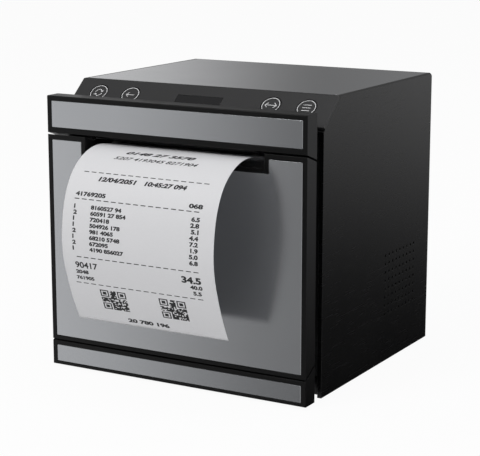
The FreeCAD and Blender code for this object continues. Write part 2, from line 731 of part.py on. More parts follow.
def door_frame():
    """Door moulding: bevelled long edges, bed for the panel, lined paper slot, ribbed back."""
    corners = [
        (0, DOOR_BOTTOM),
        (DOOR_BACK_Y, DOOR_BOTTOM_BACK),
        (DOOR_BACK_Y, DOOR_TOP_BACK),
        (0, DOOR_TOP),
    ]
    door = side_prism(corners, -HALF_W, HALF_W)
    bed = front_prism(door_panel_corners(LAP), -PAST, PANEL_T)
    slot = box(-SLOT_HALF, SLOT_HALF, -PAST, MODULE_D + PAST, SLOT_FLOOR, DOOR_TOP + PAST)
    side_x = HALF_W - 2.2
    notch_x = SLOT_HALF + SLOT_LINING
    pocket_corners = notched_plate((-side_x, side_x), (20.2, 107.4), notch_x, SLOT_FLOOR - SLOT_LINING, 1.0)
    pocket = front_prism(pocket_corners, 3.2, DOOR_BACK_Y + PAST)
    door = less(door, [bed, slot, pocket])
    back_y = (3.0, LINER_FRONT_Y)
    added = [box(x - RIB_HALF, x + RIB_HALF, *back_y, 19.5, SLOT_FLOOR - 1.5) for x in (-44, -15, 15, 44)]
    added += [box(-side_x - 0.5, side_x + 0.5, *back_y, z - RIB_HALF, z + RIB_HALF) for z in (45, 75)]
    added += [rod_y(*back_y, x, z, 3.0) for x, z in DOOR_SCREW_SPOTS]
    pilots = [rod_y(3.6, LINER_FRONT_Y + FIT, x, z, PILOT_R) for x, z in DOOR_SCREW_SPOTS]
    return less(joined([door] + added), pilots)


def door_panel_corners(grow):
    """Front outline of the door panel, larger by grow on each side."""
    half = PANEL_HALF + grow
    notch_x = SLOT_HALF + SLOT_LINING + LAP - grow
    notch_floor = SLOT_FLOOR - SLOT_LINING - LAP + grow
    z_span = (DOOR_PANEL_Z[0] - grow, DOOR_PANEL_Z[1] + grow)
    return notched_plate((-half, half), z_span, notch_x, notch_floor, 0.5, 0.4)


def door_panel():
    plate = front_prism(door_panel_corners(0), 0, PANEL_T)
    return chamfered(plate, PANEL_BREAK, lambda edge: edge.BoundBox.YMax < 0.01)


def liner_guide():
    """Hollow nose of the liner that leads the paper up to the platen and holds the fixed blade."""
    root_y = DOOR_BACK_Y - 1
    top = SLOT_FLOOR
    outside = [
        (root_y, 60),
        (14.0, 78.0, 20.0),
        (19.0, 91.0, 10.0),
        (22.6, 97.2),
        (21.0, 100.5, 1.5),
        (20.6, top),
        (DOOR_BACK_Y, top),
        (DOOR_BACK_Y, 103.0),
        (root_y, 103.0),
    ]
    inside = [(12.5, 79.0), (17.3, 92.0), (19.2, 98.0), (18.8, 104.3)]
    hollow_y = DOOR_BACK_Y - 0.5
    room = [(hollow_y, 66.0)] + inside + [(hollow_y, 104.3)]
    web = [(8.5, 65.0), (12.8, 79.0), (17.6, 92.0), (19.4, 98.0), (19.0, 104.5), (8.9, 104.5)]
    nose = side_prism(outside, -CHEEK_X[1], CHEEK_X[1]).cut(side_prism(room, -40.0, 40.0))
    return [nose] + [side_prism(web, x - 0.8, x + 0.8) for x in (-20, 0, 20)]


def liner_ears():
    """Ear at each end of the guide, with the seat of a platen bush."""
    corners = [(17.0, 94.0), (23.0, 96.0), (PLATEN_Y, 97.7, 3.0), (PLATEN_Y, 106.0), (18.0, 105.5)]
    ear = side_prism(corners, *CHEEK_X).fuse(rod_x(*CHEEK_X, PLATEN_Y, PLATEN_Z, BUSH_R + 0.8))
    return both_sides(ear)


def door_liner():
    """Inner cover of the door: closes its back, guides the paper and holds the platen."""
    notch_x = SLOT_HALF + SLOT_LINING + CLEAR
    notch_floor = SLOT_FLOOR - SLOT_LINING - CLEAR
    cover_corners = notched_plate((-66.5, 66.5), (20.5, 107.1), notch_x, notch_floor, 1.0)
    cover = front_prism(cover_corners, LINER_FRONT_Y, DOOR_BACK_Y)
    liner = joined([cover] + liner_guide() + liner_ears())
    platen_room = rod_x(-CHEEK_X[0], CHEEK_X[0], PLATEN_Y, PLATEN_Z, PLATEN_R + 2 * CLEAR)
    bush_bore = rod_x(-50, 50, PLATEN_Y, PLATEN_Z, BUSH_R)
    blade_half = FIXED_BLADE_HALF + LAP
    blade_slot = box(-blade_half, blade_half, *FIXED_BLADE_Y, FIXED_BLADE_Z[0], SLOT_FLOOR + PAST)
    liner = less(liner, [platen_room, bush_bore, blade_slot])
    return less(liner, [rod_y(6, 10, x, z, SCREW_WAY_R) for x, z in DOOR_SCREW_SPOTS])


def door_screws():
    return Part.makeCompound(
        [screw(x, DOOR_BACK_Y, z, Y_AXIS, SMALL_HEAD_R, 5.0) for x, z in DOOR_SCREW_SPOTS]
    )


def hinge_arms():
    """Swan-neck arms: from the pin back under the bar, up behind it and forward to the door."""
    under = HINGE_Z - 1.6
    over = HINGE_Z + 1.3
    outer_y = 17.4
    inner_y = 14.7
    pad_z = (21.5, 28.0)
    neck_corners = [
        (HINGE_Y, under),
        (outer_y, under, 3.0),
        (outer_y, pad_z[1], 3.0),
        (DOOR_BACK_Y, pad_z[1]),
        (DOOR_BACK_Y, pad_z[0]),
        (inner_y, pad_z[0], 2.0),
        (inner_y, over, 1.5),
        (HINGE_Y, over),
    ]
    arm_x = (HINGE_X[0] + 0.4, HINGE_X[1] - 0.4)
    neck = side_prism(neck_corners, *arm_x)
    knuckle = rod_x(*arm_x, HINGE_Y, HINGE_Z, 2.7)
    pad = box(HINGE_X[0] - 2.5, HINGE_X[1] + 2.5, DOOR_BACK_Y, DOOR_BACK_Y + 1.8, *pad_z)
    bore = rod_x(HINGE_X[0] - PAST, HINGE_X[1] + PAST, HINGE_Y, HINGE_Z, PIN_R + RUNNING)
    return Part.makeCompound(both_sides(less(joined([neck, knuckle, pad]), [bore])))


def fixed_blade():
    """Counter blade of the cutter, standing in a slot of the door liner."""
    low, high = FIXED_BLADE_Z
    half = FIXED_BLADE_HALF
    return front_prism([(-half, low), (half, low), (half, high, 0.8), (-half, high, 0.8)], *FIXED_BLADE_Y)


def platen_bushes():
    bush = rod_x(CHEEK_X[0], 45.4, PLATEN_Y, PLATEN_Z, BUSH_R)
    bore = rod_x(40, 47, PLATEN_Y, PLATEN_Z, SHAFT_R + RUNNING)
    return Part.makeCompound(both_sides(bush.cut(bore)))


# ---------------------------------------------------------------- platen and feed train
def platen_shaft():
    """Steel shaft with a groove for its retaining clip at the right end."""
    groove_x = (46.0, 46.3)
    shaft = rod_x(-51.5, 46.6, PLATEN_Y, PLATEN_Z, SHAFT_R)
    groove = rod_x(*groove_x, PLATEN_Y, PLATEN_Z, SHAFT_R + PAST)
    core = rod_x(groove_x[0] - LAP, groove_x[1] + LAP, PLATEN_Y, PLATEN_Z, SHAFT_R - 0.4)
    return shaft.cut(groove.cut(core))


def platen_rubber():
    half = 40.6
    sleeve = rod_x(-half, half, PLATEN_Y, PLATEN_Z, PLATEN_R)
    return sleeve.cut(rod_x(-half - PAST, half + PAST, PLATEN_Y, PLATEN_Z, SHAFT_R))


def platen_gear():
    return gear_x(GEAR_X0, GEAR_X1, PLATEN_C, PLATEN_TEETH, IDLER_DIRECTION, SHAFT_R)


def idler_gear():
    """Idler with five round lightening holes."""
    gear = gear_x(GEAR_X0 + FIT, GEAR_X1 - FIT, IDLER_C, IDLER_TEETH, IDLER_FIRST, STUD_R + RUNNING)
    hole_count = 5
    holes = []
    for turn in range(hole_count):
        y, z = along(IDLER_C, 7.2, 360.0 * turn / hole_count)
        holes.append(rod_x(GEAR_X0 - PAST, GEAR_X1 + PAST, y, z, 2.3))
    return less(gear, holes)


def motor_pinion():
    """Pinion on its motor shaft."""
    gear = gear_x(GEAR_X0 + FIT, GEAR_X1 - FIT, PINION_C, PINION_TEETH, pinion_first(), 0)
    shaft = rod_x(GEAR_X0 - 0.6, -39.6, *PINION_C, MOTOR_SHAFT_R)
    return joined([gear, shaft])


def feed_motor():
    """Stepping motor: round can with a mounting flange, front boss and a cable plug."""
    y, z = PINION_C
    can_r = 11.8
    flange_x = (-PLATE_X[0], -42.4)
    can = rod_x(flange_x[1], -27.5, y, z, can_r)
    disc = rod_x(*flange_x, y, z, can_r)
    ears = box(*flange_x, y - 12.0, y + 12.0, z - 8.0, z + 8.0)
    plug = box(-34, -28, y - 4, y + 4, z + 10.5, z + 13.8)
    boss = rod_x(-PLATE_X[1], -PLATE_X[0], y, z, MOTOR_BOSS_R)
    body = joined([can, joined([ears, disc]), plug, boss])
    return body.cut(rod_x(-46, -39.5, y, z, MOTOR_SHAFT_R + RUNNING))


def chassis_plates():
    """The two notched side plates of the mechanism."""
    front, back = CHASSIS_Y
    nose = front + 2.6
    corners = [
        (front, 108.2),
        (front, CHASSIS_TOP),
        (back, CHASSIS_TOP, 3.0),
        (back, 95.0, 3.0),
        (52.0, 88.8, 6.0),
        (34.0, 91.0, 4.0),
        (nose, 94.2, 1.5),
        (nose, 98.4),
    ]
    return both_sides(side_prism(corners, *PLATE_X))


def bush_mouths():
    """Flared notches the bushes swing into, cut towards the arc that the closing door takes."""
    seat = BUSH_R + 0.12
    reach = 12.0
    flare = 2.6
    funnel = side_prism([(0, -seat), (0, seat), (-reach, seat + flare), (-reach, -seat - flare)], -60, 60)
    mouth = joined([funnel, rod_x(-60, 60, 0, 0, seat)])
    closing = math.degrees(math.atan2(HINGE_Y - PLATEN_Y, PLATEN_Z - HINGE_Z))
    place = Placement(Vector(0, PLATEN_Y, PLATEN_Z), Rotation(X_AXIS, closing))
    return mouth.transformed(place.toMatrix())


def mechanism_frame():
    """Chassis over the paper bay: two notched side plates, a roof and the head's back wall."""
    front, back = CHASSIS_Y
    half = PLATE_X[0] + LAP
    sheet = 1.4
    roof = box(-half, half, 47.5, back - 1.0, CHASSIS_TOP - 1.3, CHASSIS_TOP)
    front_rail = box(-half, half, front, front + 2.4, 111.4, CHASSIS_TOP)
    back_wall = at_head(box(-half, half, *HEAD_WALL, -3.0, 11.5))
    rear_wall = box(-half, half, back - 1.0 - sheet, back - 1.0, 97.0, CHASSIS_TOP - 1.2)
    frame = joined(chassis_plates() + [roof, front_rail, back_wall, rear_wall])
    pivot_hole = at_head(rod_x(-60, 60, *HEAD_PIVOT, HEAD_PIVOT_R + RUNNING))
    motor_hole = rod_x(-60, -40, *PINION_C, MOTOR_BOSS_R + LAP)
    frame = less(frame, [bush_mouths(), pivot_hole, motor_hole])
    stud = rod_x(GEAR_X0 - 0.8, -PLATE_X[1], *IDLER_C, STUD_R)
    collar = rod_x(GEAR_X1, -PLATE_X[1], *IDLER_C, STUD_R + 1.1)
    foot = box(PLATE_X[1], PLATE_X[1] + 6, 64.0, back - 1.0, FRAME_FOOT_Z, FRAME_FOOT_Z + 1.5)
    return joined([frame, stud, collar] + both_sides(foot))


# ---------------------------------------------------------------- print head
def head_plate():
    """Thermal print head: thin ceramic strip that faces the platen."""
    return at_head(box(-42.4, 42.4, PLATEN_R + 0.25, CARRIER[0], -3.6, 9.0))


def head_heat_sink():
    """Aluminium carrier behind the strip, with cooling fins and its two pivot pins."""
    half = 42.6
    plate = box(-half, half, *CARRIER, -4.0, 14.6)
    fins = [box(x - RIB_HALF, x + RIB_HALF, CARRIER[1], FIN_TIP, -3.0, 9.5) for x in FIN_X]
    pin = rod_x(half, 46.2, *HEAD_PIVOT, HEAD_PIVOT_R)
    return at_head(joined([plate] + fins + both_sides(pin)))


def head_springs():
    """Two coil springs that press the head on the platen."""
    coil_r = 2.2
    wire_r = 0.3
    pitch = 1.5
    length = HEAD_WALL[0] - CARRIER[1] - 2 * wire_r - LAP
    springs = []
    for x in (-19, 19):
        helix = Part.makeHelix(pitch, length, coil_r)
        start = helix.Edges[0].valueAt(helix.Edges[0].FirstParameter)
        circle = Part.Wire(Part.makeCircle(wire_r, start, Vector(0, 1, 0.1)))
        coil = Part.Wire(helix.Edges).makePipeShell([circle], True, False)
        place = Placement(Vector(x, CARRIER[1] + wire_r + 0.04, 4.0), Rotation(X_AXIS, -90))
        springs.append(at_head(coil.transformed(place.toMatrix())))
    return Part.makeCompound(springs)


# ---------------------------------------------------------------- cutter
def moving_blade():
    """Guillotine blade with a shallow V edge, two windows and a short rack at its right end."""
    half = 43.0
    rack_root = RACK_X - 0.65
    rack_tip = RACK_X + 0.45
    body_end = RACK_X - 0.6
    corners = [
        (-half, BLADE_EDGE),
        (0, BLADE_EDGE + 1.2),
        (half, BLADE_EDGE),
        (body_end, BLADE_EDGE),
        (body_end, BLADE_TOP),
        (-half, BLADE_TOP, 0.8),
    ]
    thick = (BLADE_Y, BLADE_Y + BLADE_T)
    blade = front_prism(corners, *thick)
    slant = math.tan(math.radians(PRESSURE_ANGLE))
    at_pitch = math.pi * GEAR_M / 4 - TOOTH_THINNING
    tip_half = at_pitch - (rack_tip - RACK_X) * slant
    root_half = at_pitch + (RACK_X - rack_root) * slant
    teeth = []
    for index in range(-1, 3):
        z = CUTTER_Z + (index + 0.5) * math.pi * GEAR_M
        below = [(rack_root, z - root_half), (rack_tip, z - tip_half)]
        above = [(rack_tip, z + tip_half), (rack_root, z + root_half)]
        teeth.append(front_prism(below + above, *thick))
    windows = []
    for x in (-12, 12):
        opening = rectangle(x - 5, x + 5, 113.3, 115.2, 0.9)
        windows.append(front_prism(opening, BLADE_Y - PAST, BLADE_Y + BLADE_T + PAST))
    return less(joined([blade] + teeth), windows)


def cutter_pinion():
    """Pinion and shaft of the cutter motor; a tooth points at the rack at rest."""
    gear = gear_blank(CUTTER_TEETH, 180.0, BLADE_T + 0.6, 0)
    place = Placement(Vector(CUTTER_X, BLADE_Y + BLADE_T + CLEAR, CUTTER_Z), Rotation(X_AXIS, 90))
    shaft = rod_y(BLADE_Y - 0.8, 24.4, CUTTER_X, CUTTER_Z, MOTOR_SHAFT_R)
    return joined([gear.transformed(place.toMatrix()), shaft])


def cutter_motor():
    """Small round motor behind the bulkhead, with its nose through it."""
    can_y = (21.1, 41.0)
    can = rod_y(*can_y, CUTTER_X, CUTTER_Z, 5.0)
    cap = rod_y(can_y[1], can_y[1] + 1.2, CUTTER_X, CUTTER_Z, 3.0)
    nose = rod_y(can_y[0] - 1.4, can_y[0], CUTTER_X, CUTTER_Z, 2.1)
    bore = rod_y(19, 24.6, CUTTER_X, CUTTER_Z, MOTOR_SHAFT_R + RUNNING)
    return joined([can, cap, nose]).cut(bore)


def cutter_frame():
    """Guide plate behind the moving blade, with hooks that keep the blade against it."""
    hook_y = 14.1
    top = BRIDGE_Z[0]
    plate_y = (BLADE_Y + BLADE_T + FIT, 19.0)
    plate = front_prism(rectangle(-45.5, 41.6, BLADE_EDGE + LAP, top, 0.6), *plate_y)
    hooks = []
    for x in (-33, 33):
        hooks.append(box(x - 4, x + 4, hook_y, BLADE_Y - FIT, 113.8, top))
        hooks.append(box(x - 4, x + 4, hook_y, plate_y[0] + LAP, BLADE_TOP + FIT, top))
    return joined([plate] + hooks)


# ---------------------------------------------------------------- paper
def paper_bay():
    """Trough for the roll: curved floor, loading ramp, raised back and two side cheeks."""
    wall = 1.8
    outer_r = BAY_R + wall
    front_y = CHASSIS_Y[0]
    lip_y = 38.6
    lip_z = BAY_Z - math.sqrt(outer_r ** 2 - (ROLL_Y - lip_y) ** 2)
    back_y = ROLL_Y + outer_r
    top = 84.0
    x1 = CHEEK_X[1]
    trough = rod_x(-x1, x1, ROLL_Y, BAY_Z, outer_r).cut(rod_x(-60, 60, ROLL_Y, BAY_Z, BAY_R))
    trough = trough.common(box(-60, 60, lip_y, 130, 5, BAY_Z))
    back = box(-x1, x1, back_y - wall, back_y, BAY_Z - 1, top)
    ramp_corners = [(front_y, 14.6), (lip_y + FIT, lip_z - LAP), (lip_y + FIT, lip_z + 2.4), (front_y, 16.6)]
    ramp = side_prism(ramp_corners, -x1, x1)
    cheek_corners = [
        (front_y, 14.6),
        (lip_y, 9.4),
        (ROLL_Y, TRAY_RIB_TOP),
        (112.0, 9.4, 8.0),
        (back_y, 40.0, 20.0),
        (back_y, top, 6.0),
        (60.0, top, 8.0),
        (40.0, 70.0, 12.0),
        (front_y, 62.0, 6.0),
    ]
    cheeks = both_sides(side_prism(cheek_corners, *CHEEK_X))
    legs = [box(x - 1, x + 1, 66, 86, TRAY_RIB_TOP, BAY_Z - BAY_R - 1.0) for x in (-20, 20)]
    bracket_root = x1 - LAP
    bracket_x = (46.8, 50.8)
    bracket_corners = [
        (bracket_root, 62.0),
        (bracket_x[1], 76.0),
        (bracket_x[1], FRAME_FOOT_Z),
        (bracket_x[0], FRAME_FOOT_Z),
        (bracket_x[0], top),
        (bracket_root, top),
    ]
    brackets = both_sides(front_prism(bracket_corners, 65.0, 72.0))
    return joined([joined([trough, back, ramp] + cheeks)] + legs + brackets)


def paper_roll():
    roll = rod_x(-PAPER_HALF, PAPER_HALF, ROLL_Y, ROLL_Z, ROLL_R)
    return roll.cut(rod_x(-50, 50, ROLL_Y, ROLL_Z, CORE_R))


def roll_core():
    core = rod_x(-PAPER_HALF, PAPER_HALF, ROLL_Y, ROLL_Z, CORE_R)
    return core.cut(rod_x(-50, 50, ROLL_Y, ROLL_Z, CORE_R - 2.4))


def paper_web():
    """Paper between the roll and the platen: a straight run, then a wrap round the platen."""
    roll_r = ROLL_R + CLEAR
    wrap_r = PLATEN_R + 0.05
    span = math.hypot(PLATEN_Y - ROLL_Y, PLATEN_Z - ROLL_Z)
    toward = math.degrees(math.atan2(PLATEN_Z - ROLL_Z, PLATEN_Y - ROLL_Y))
    lift = math.degrees(math.acos((roll_r + wrap_r) / span))
    leave = along((ROLL_Y, ROLL_Z), roll_r, toward - lift)
    arrive = along(PLATEN_C, wrap_r, toward - lift + 180)
    nip = along(PLATEN_C, wrap_r, 0)
    top = along(PLATEN_C, wrap_r, 88)
    cut_end = (18.2, top[1] + 0.25)
    spots = [Vector(-PAPER_HALF, *spot) for spot in (leave, arrive, nip, top, cut_end)]
    run = Part.LineSegment(spots[0], spots[1]).toShape()
    wrap = Part.Arc(*spots[1:4]).toShape()
    exit_run = Part.LineSegment(spots[3], spots[4]).toShape()
    strip = Part.Wire([run, wrap, exit_run]).makeOffset2D(WEB_T, 0, True, True, False)
    return strip.extrude(Vector(2 * PAPER_HALF, 0, 0))


# Side curve of the hanging ticket, from the cut inside to its lower edge.
TICKET_CURVE = (
    (14.8, 108.9),
    (8.0, 109.6),
    (1.0, 110.2),
    (-5.8, 109.6),
    (-13.7, 106.6),
    (-21.0, 101.0),
    (-27.0, 91.0),
    (-30.0, 78.0),
    (-30.2, 66.0),
    (-27.2, 53.4),
    (-22.7, 41.3),
    (-17.9, 31.3),
)


def ticket():
    """Printed ticket: leaves the slot, curls forward and hangs in front of the door."""
    front_points = [Vector(-PAPER_HALF, y, z) for y, z in TICKET_CURVE]
    front = Part.BSplineCurve()
    front.interpolate(front_points)
    back_points = []
    for point in front_points:
        tangent = front.tangent(front.parameter(point))[0]
        back_points.append(point + X_AXIS.cross(tangent).normalize() * PAPER_T)
    back = Part.BSplineCurve()
    back.interpolate(back_points)
    ends = [
        Part.LineSegment(front_points[-1], back_points[-1]).toShape(),
        Part.LineSegment(back_points[0], front_points[0]).toShape(),
    ]
    wire = Part.Wire(Part.__sortEdges__([front.toShape(), back.toShape()] + ends))
    return Part.Face(wire).extrude(Vector(2 * PAPER_HALF, 0, 0))


# ---------------------------------------------------------------- electronics
def main_board():
    """Upright board on the rear panel's posts, with its chips, capacitors and cable sockets."""
    face = BOARD_Y[1]
    board = front_prism(rectangle(-62, 62, 12.0, 110.0, 1.0), *BOARD_Y)
    processor = box(-12, 8, face, face + 1.6, 52, 70)
    driver = box(18, 32, face, face + 1.6, 60, 68)
    inductor = box(-44, -30, face, face + 6.0, 52, 62)
    capacitors = [rod_y(face, face + 8.5, x, 84, 4.0) for x in (-50, -38)]
    sockets = [box(x - 8, x + 8, face, face + 5.0, 100, 106) for x in (-20, 4, 28)]
    holes = [rod_y(BOARD_Y[0] - PAST, face + PAST, x, z, 1.6) for x, z in BOARD_HOLES]
    return less(joined([board, processor, driver, inductor] + capacitors + sockets), holes)


def socket_block(port, mouth_half, key_half, key_z):
    """Board socket: shielded block, its mouth, and the keyway over or under it (offsets from its centre)."""
    x, z, wide, high = port
    beyond = PANEL_BACK_Y + PAST
    body = box(x - wide, x + wide, BOARD_Y[1], PORT_FACE, z - high, z + high)
    mouth_x, mouth_z = mouth_half
    mouth = box(x - mouth_x, x + mouth_x, PORT_FACE - SOCKET_DEPTH, beyond, z - mouth_z, z + mouth_z)
    keyway = box(x - key_half, x + key_half, PORT_FACE - 8.0, beyond, z + key_z[0], z + key_z[1])
    return body.cut(mouth).cut(keyway)


def network_port():
    return socket_block(NETWORK, (5.9, 4.1), 3.0, (4.0, 5.6))


def drawer_port():
    return socket_block(DRAWER, (4.9, 3.4), 1.7, (-5.0, -3.3))


def usb_port():
    """Square data socket with bevelled upper corners and a tongue."""
    x, z, wide, high = USB
    mouth_half = 3.9
    mouth_x = 4.2
    floor_y = PORT_FACE - 8.8
    body = box(x - wide, x + wide, BOARD_Y[1], PORT_FACE, z - high, z + high)
    mouth_corners = [
        (x - mouth_x, z - mouth_half),
        (x + mouth_x, z - mouth_half),
        (x + mouth_x, z + 1.8),
        (x + 2.4, z + mouth_half),
        (x - 2.4, z + mouth_half),
        (x - mouth_x, z + 1.8),
    ]
    mouth = front_prism(mouth_corners, floor_y, PANEL_BACK_Y + PAST)
    tongue = box(x - 2.8, x + 2.8, floor_y - FIT, PANEL_BACK_Y - 0.6, z - 1.6, z + 1.6)
    return joined([body.cut(mouth), tongue])


def power_jack():
    """Round power inlet with its centre pin."""
    shoulder_y = REAR_PANEL_Y - 0.4
    mouth_y = PANEL_BACK_Y - 9.5
    body = box(POWER_X - 5.5, POWER_X + 5.5, BOARD_Y[1], shoulder_y, POWER_Z - 6.5, POWER_Z + 6.5)
    nose = rod_y(shoulder_y, PORT_FACE, POWER_X, POWER_Z, JACK_R)
    mouth = rod_y(mouth_y, PANEL_BACK_Y + PAST, POWER_X, POWER_Z, 3.2)
    pin = rod_y(mouth_y - FIT, PANEL_BACK_Y - 0.8, POWER_X, POWER_Z, 1.05)
    return joined([joined([body, nose]).cut(mouth), pin])


def switch_block(half_x, half_z, y0, y1):
    return box(SWITCH_X - half_x, SWITCH_X + half_x, y0, y1, SWITCH_Z - half_z, SWITCH_Z + half_z)


def switch_body():
    """Snap-in switch housing with its bezel and the rocker's pin."""
    shell = switch_block(SWITCH_HALF_X, SWITCH_HALF_Z, 124.0, PANEL_BACK_Y)
    brim = 1.1
    bezel_x = SWITCH_HALF_X + brim
    bezel_z = SWITCH_HALF_Z + brim
    bezel_corners = rectangle(
        SWITCH_X - bezel_x, SWITCH_X + bezel_x, SWITCH_Z - bezel_z, SWITCH_Z + bezel_z, 1.5)
    bezel = front_prism(bezel_corners, PANEL_BACK_Y, CASE_D)
    well = switch_block(WELL_HALF_X, WELL_HALF_Z, 127.0, CASE_D + PAST)
    pin = rod_x(SWITCH_X - SWITCH_HALF_X, SWITCH_X + SWITCH_HALF_X, ROCKER_Y, SWITCH_Z, ROCKER_PIN_R)
    return joined([less(joined([shell, bezel]), [well]), pin])


def power_rocker():
    """Rocker with two dished halves, at rest tilted to its off side."""
    half_x = WELL_HALF_X - CLEAR
    upper = [(131.6, 8.0, 0.6), (134.1, 8.3, 0.4)]
    lower = [(y, -rise, radius) for y, rise, radius in upper]
    profile = [(128.6, -2.6, 1.0)] + lower + [(133.3, 0, 12.0)] + upper[::-1] + [(128.6, 2.6, 1.0)]
    corners = [(y, SWITCH_Z + rise, radius) for y, rise, radius in profile]
    body = side_prism(corners, SWITCH_X - half_x, SWITCH_X + half_x)
    body = body.cut(rod_x(SWITCH_X - 6, SWITCH_X + 6, ROCKER_Y, SWITCH_Z, ROCKER_PIN_R + RUNNING))
    body.rotate(Vector(0, ROCKER_Y, SWITCH_Z), X_AXIS, ROCKER_TILT)
    return body


def speaker():
    """Small loudspeaker behind the side holes: frame ring, cone and magnet."""
    cone_x = 61.8
    ring_back = cone_x - FIT
    cone_r = 15.8
    dust_cap_r = 4.9
    here = (SPEAKER_Y, SPEAKER_Z)
    ring = rod_x(ring_back, HALF_W - WALL, *here, SPEAKER_R).cut(rod_x(cone_x + 2.4, 68, *here, cone_r))
    funnel = Part.makeCone(dust_cap_r + LAP, cone_r, 2.4, Vector(cone_x, *here), X_AXIS)
    funnel = funnel.cut(rod_x(61, 63, *here, dust_cap_r))
    magnet = rod_x(ring_back - 5.0, ring_back, *here, 10.0)
    return joined([ring.cut(funnel), magnet])


# ---------------------------------------------------------------- writing the files
def placed(shape):
    moved = shape.copy()
    moved.translate(Vector(0, -ORIGIN_Y, FOOT_H))
    return moved


BUILDERS = (
    base_tray, rubber_feet, case_shell, top_panel, rear_panel, case_screws,
    control_strip, display_lens, display_module, key_board, tact_switches,
    front_bulkhead, top_bar_frame, top_bar_panel, bottom_bar_frame, bottom_bar_panel, hinge_pins,
    paper_bay, mechanism_frame, feed_motor, cutter_frame, cutter_motor, paper_web,
    main_board, power_jack, usb_port, network_port, drawer_port, switch_body, speaker,
    head_springs, head_plate, head_heat_sink,
    door_frame, door_panel, door_liner, door_screws, hinge_arms, fixed_blade, platen_bushes, ticket,
    platen_shaft, platen_rubber, platen_gear, idler_gear, motor_pinion,
    paper_roll, roll_core, moving_blade, cutter_pinion, power_rocker,
)

os.makedirs("parts", exist_ok=True)
solids = {builder.__name__: builder() for builder in BUILDERS}
for key_name, key_x in zip(KEY_NAMES, KEY_X):
    solids[key_name] = key(key_x)
for node_name, solid in solids.items():
    placed(solid).exportStep("parts/" + node_name + ".step")
    print(node_name, len(solid.Solids), round(solid.Volume), solid.isValid())
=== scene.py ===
"""Looks of a countertop ticket printer: finishes, printed ticket, key signs, light and camera."""
import math

import bmesh
import bpy
import numpy as np
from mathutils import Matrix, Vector


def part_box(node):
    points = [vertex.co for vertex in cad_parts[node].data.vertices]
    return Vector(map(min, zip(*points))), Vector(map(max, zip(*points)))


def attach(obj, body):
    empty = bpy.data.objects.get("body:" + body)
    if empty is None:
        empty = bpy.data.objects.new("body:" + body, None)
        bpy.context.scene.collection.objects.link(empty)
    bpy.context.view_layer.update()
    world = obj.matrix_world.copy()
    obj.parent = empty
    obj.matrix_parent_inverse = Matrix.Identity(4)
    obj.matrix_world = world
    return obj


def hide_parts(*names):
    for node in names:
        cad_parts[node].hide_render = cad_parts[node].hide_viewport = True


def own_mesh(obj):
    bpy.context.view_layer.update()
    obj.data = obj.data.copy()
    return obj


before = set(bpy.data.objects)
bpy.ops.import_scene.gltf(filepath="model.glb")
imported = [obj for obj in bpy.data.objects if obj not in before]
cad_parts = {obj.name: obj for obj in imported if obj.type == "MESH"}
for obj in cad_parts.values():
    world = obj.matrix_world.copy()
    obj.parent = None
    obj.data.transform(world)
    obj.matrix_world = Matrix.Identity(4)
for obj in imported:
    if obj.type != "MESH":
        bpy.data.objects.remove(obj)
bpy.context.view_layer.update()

# ---------------------------------------------------------------- sizes in millimetres on the case
MM = 0.001
ORIGIN_Y = 52.48  # the part's origin lies this far behind the front face
FOOT_H = 1.6  # the case stands this high on its feet

# The control strip slopes up and back from its lower edge at BODY_Y, SLOPE_Z.
BODY_Y = 15.5
SLOPE_Z = 123.7
SLOPE_RISE = 12.7
SLOPE_RUN = 14.9
KEY_S = 10.8  # the keys' centres lie this far up the slope
KEYS = {"cycle": -56.0, "back": -37.9, "swap": 37.9, "menu": 56.0}
SIGN_LINE = 0.28
SIGN_LIFT = 0.03
RING_RADIUS = 4.3
RING_STEPS = 72
CYCLE_RADIUS = 2.3
CYCLE_STEPS = 16
CYCLE_HEAD = 1.0
DIAMOND_REACH = 2.1
DIAMOND_SHARE = 0.6
ARROW_HEAD = 2.0
ARROW_TURN = 136  # degrees
BACK_TIP = -2.3
BACK_TAIL = 2.2
SWAP_TIP = 3.0
MENU_HALF = 2.05
MENU_STEP = 1.65

# The ticket's side view: y and z along its middle line, from inside the slot to its free end.
TICKET_CURVE = (
    (14.8, 108.9),
    (8.0, 109.6),
    (1.0, 110.2),
    (-5.8, 109.6),
    (-13.7, 106.6),
    (-21.0, 101.0),
    (-27.0, 91.0),
    (-30.0, 78.0),
    (-30.2, 66.0),
    (-27.2, 53.4),
    (-22.7, 41.3),
    (-17.9, 31.3),
)
CURVE_STEPS = 600
PAPER_HALF = 39.9
TICKET_INSET = 0.05  # the sheet's face lies this far under that of its solid
TICKET_THICK = 0.1
SHEET_ROWS = 140
SHEET_COLUMNS = 12
SHEET_RIM = 0.1
INK_LIFT = 0.02

# Figures are drawn wider and bolder than the font has them.
FIGURE_STRETCH = 1.42
FIGURE_WEIGHT = 0.05
WELD = 0.0005  # printed corners closer than this become one
DASHES = 17
DASH_SHARE = 0.66
DASH_HALF = 0.2
CODE_CELLS = 21
CODE_DENSITY = 0.73
CODE_EYE = 7
# The framed corner of a code: bars from left to right and from low to high, in cells.
EYE_BARS = (
    (0, CODE_EYE, CODE_EYE - 1, CODE_EYE),
    (0, CODE_EYE, 0, 1),
    (0, 1, 1, CODE_EYE - 1),
    (CODE_EYE - 1, CODE_EYE, 1, CODE_EYE - 1),
    (2, CODE_EYE - 2, 2, CODE_EYE - 2),
)
FIRST_ROW = 55.8
ROW_STEP = 2.74
ITEM_ROWS = (
    ("1", "8160527 94", "6.5"),
    ("2", "60591 27 854", "2.8"),
    ("1", "720418", "5.1"),
    ("1", "504926 178", "4.4"),
    ("2", "981 4065", "7.2"),
    ("1", "68210 5748", "1.9"),
    ("2", "672095", "5.0"),
    ("1", "4190 856027", "6.8"),
)

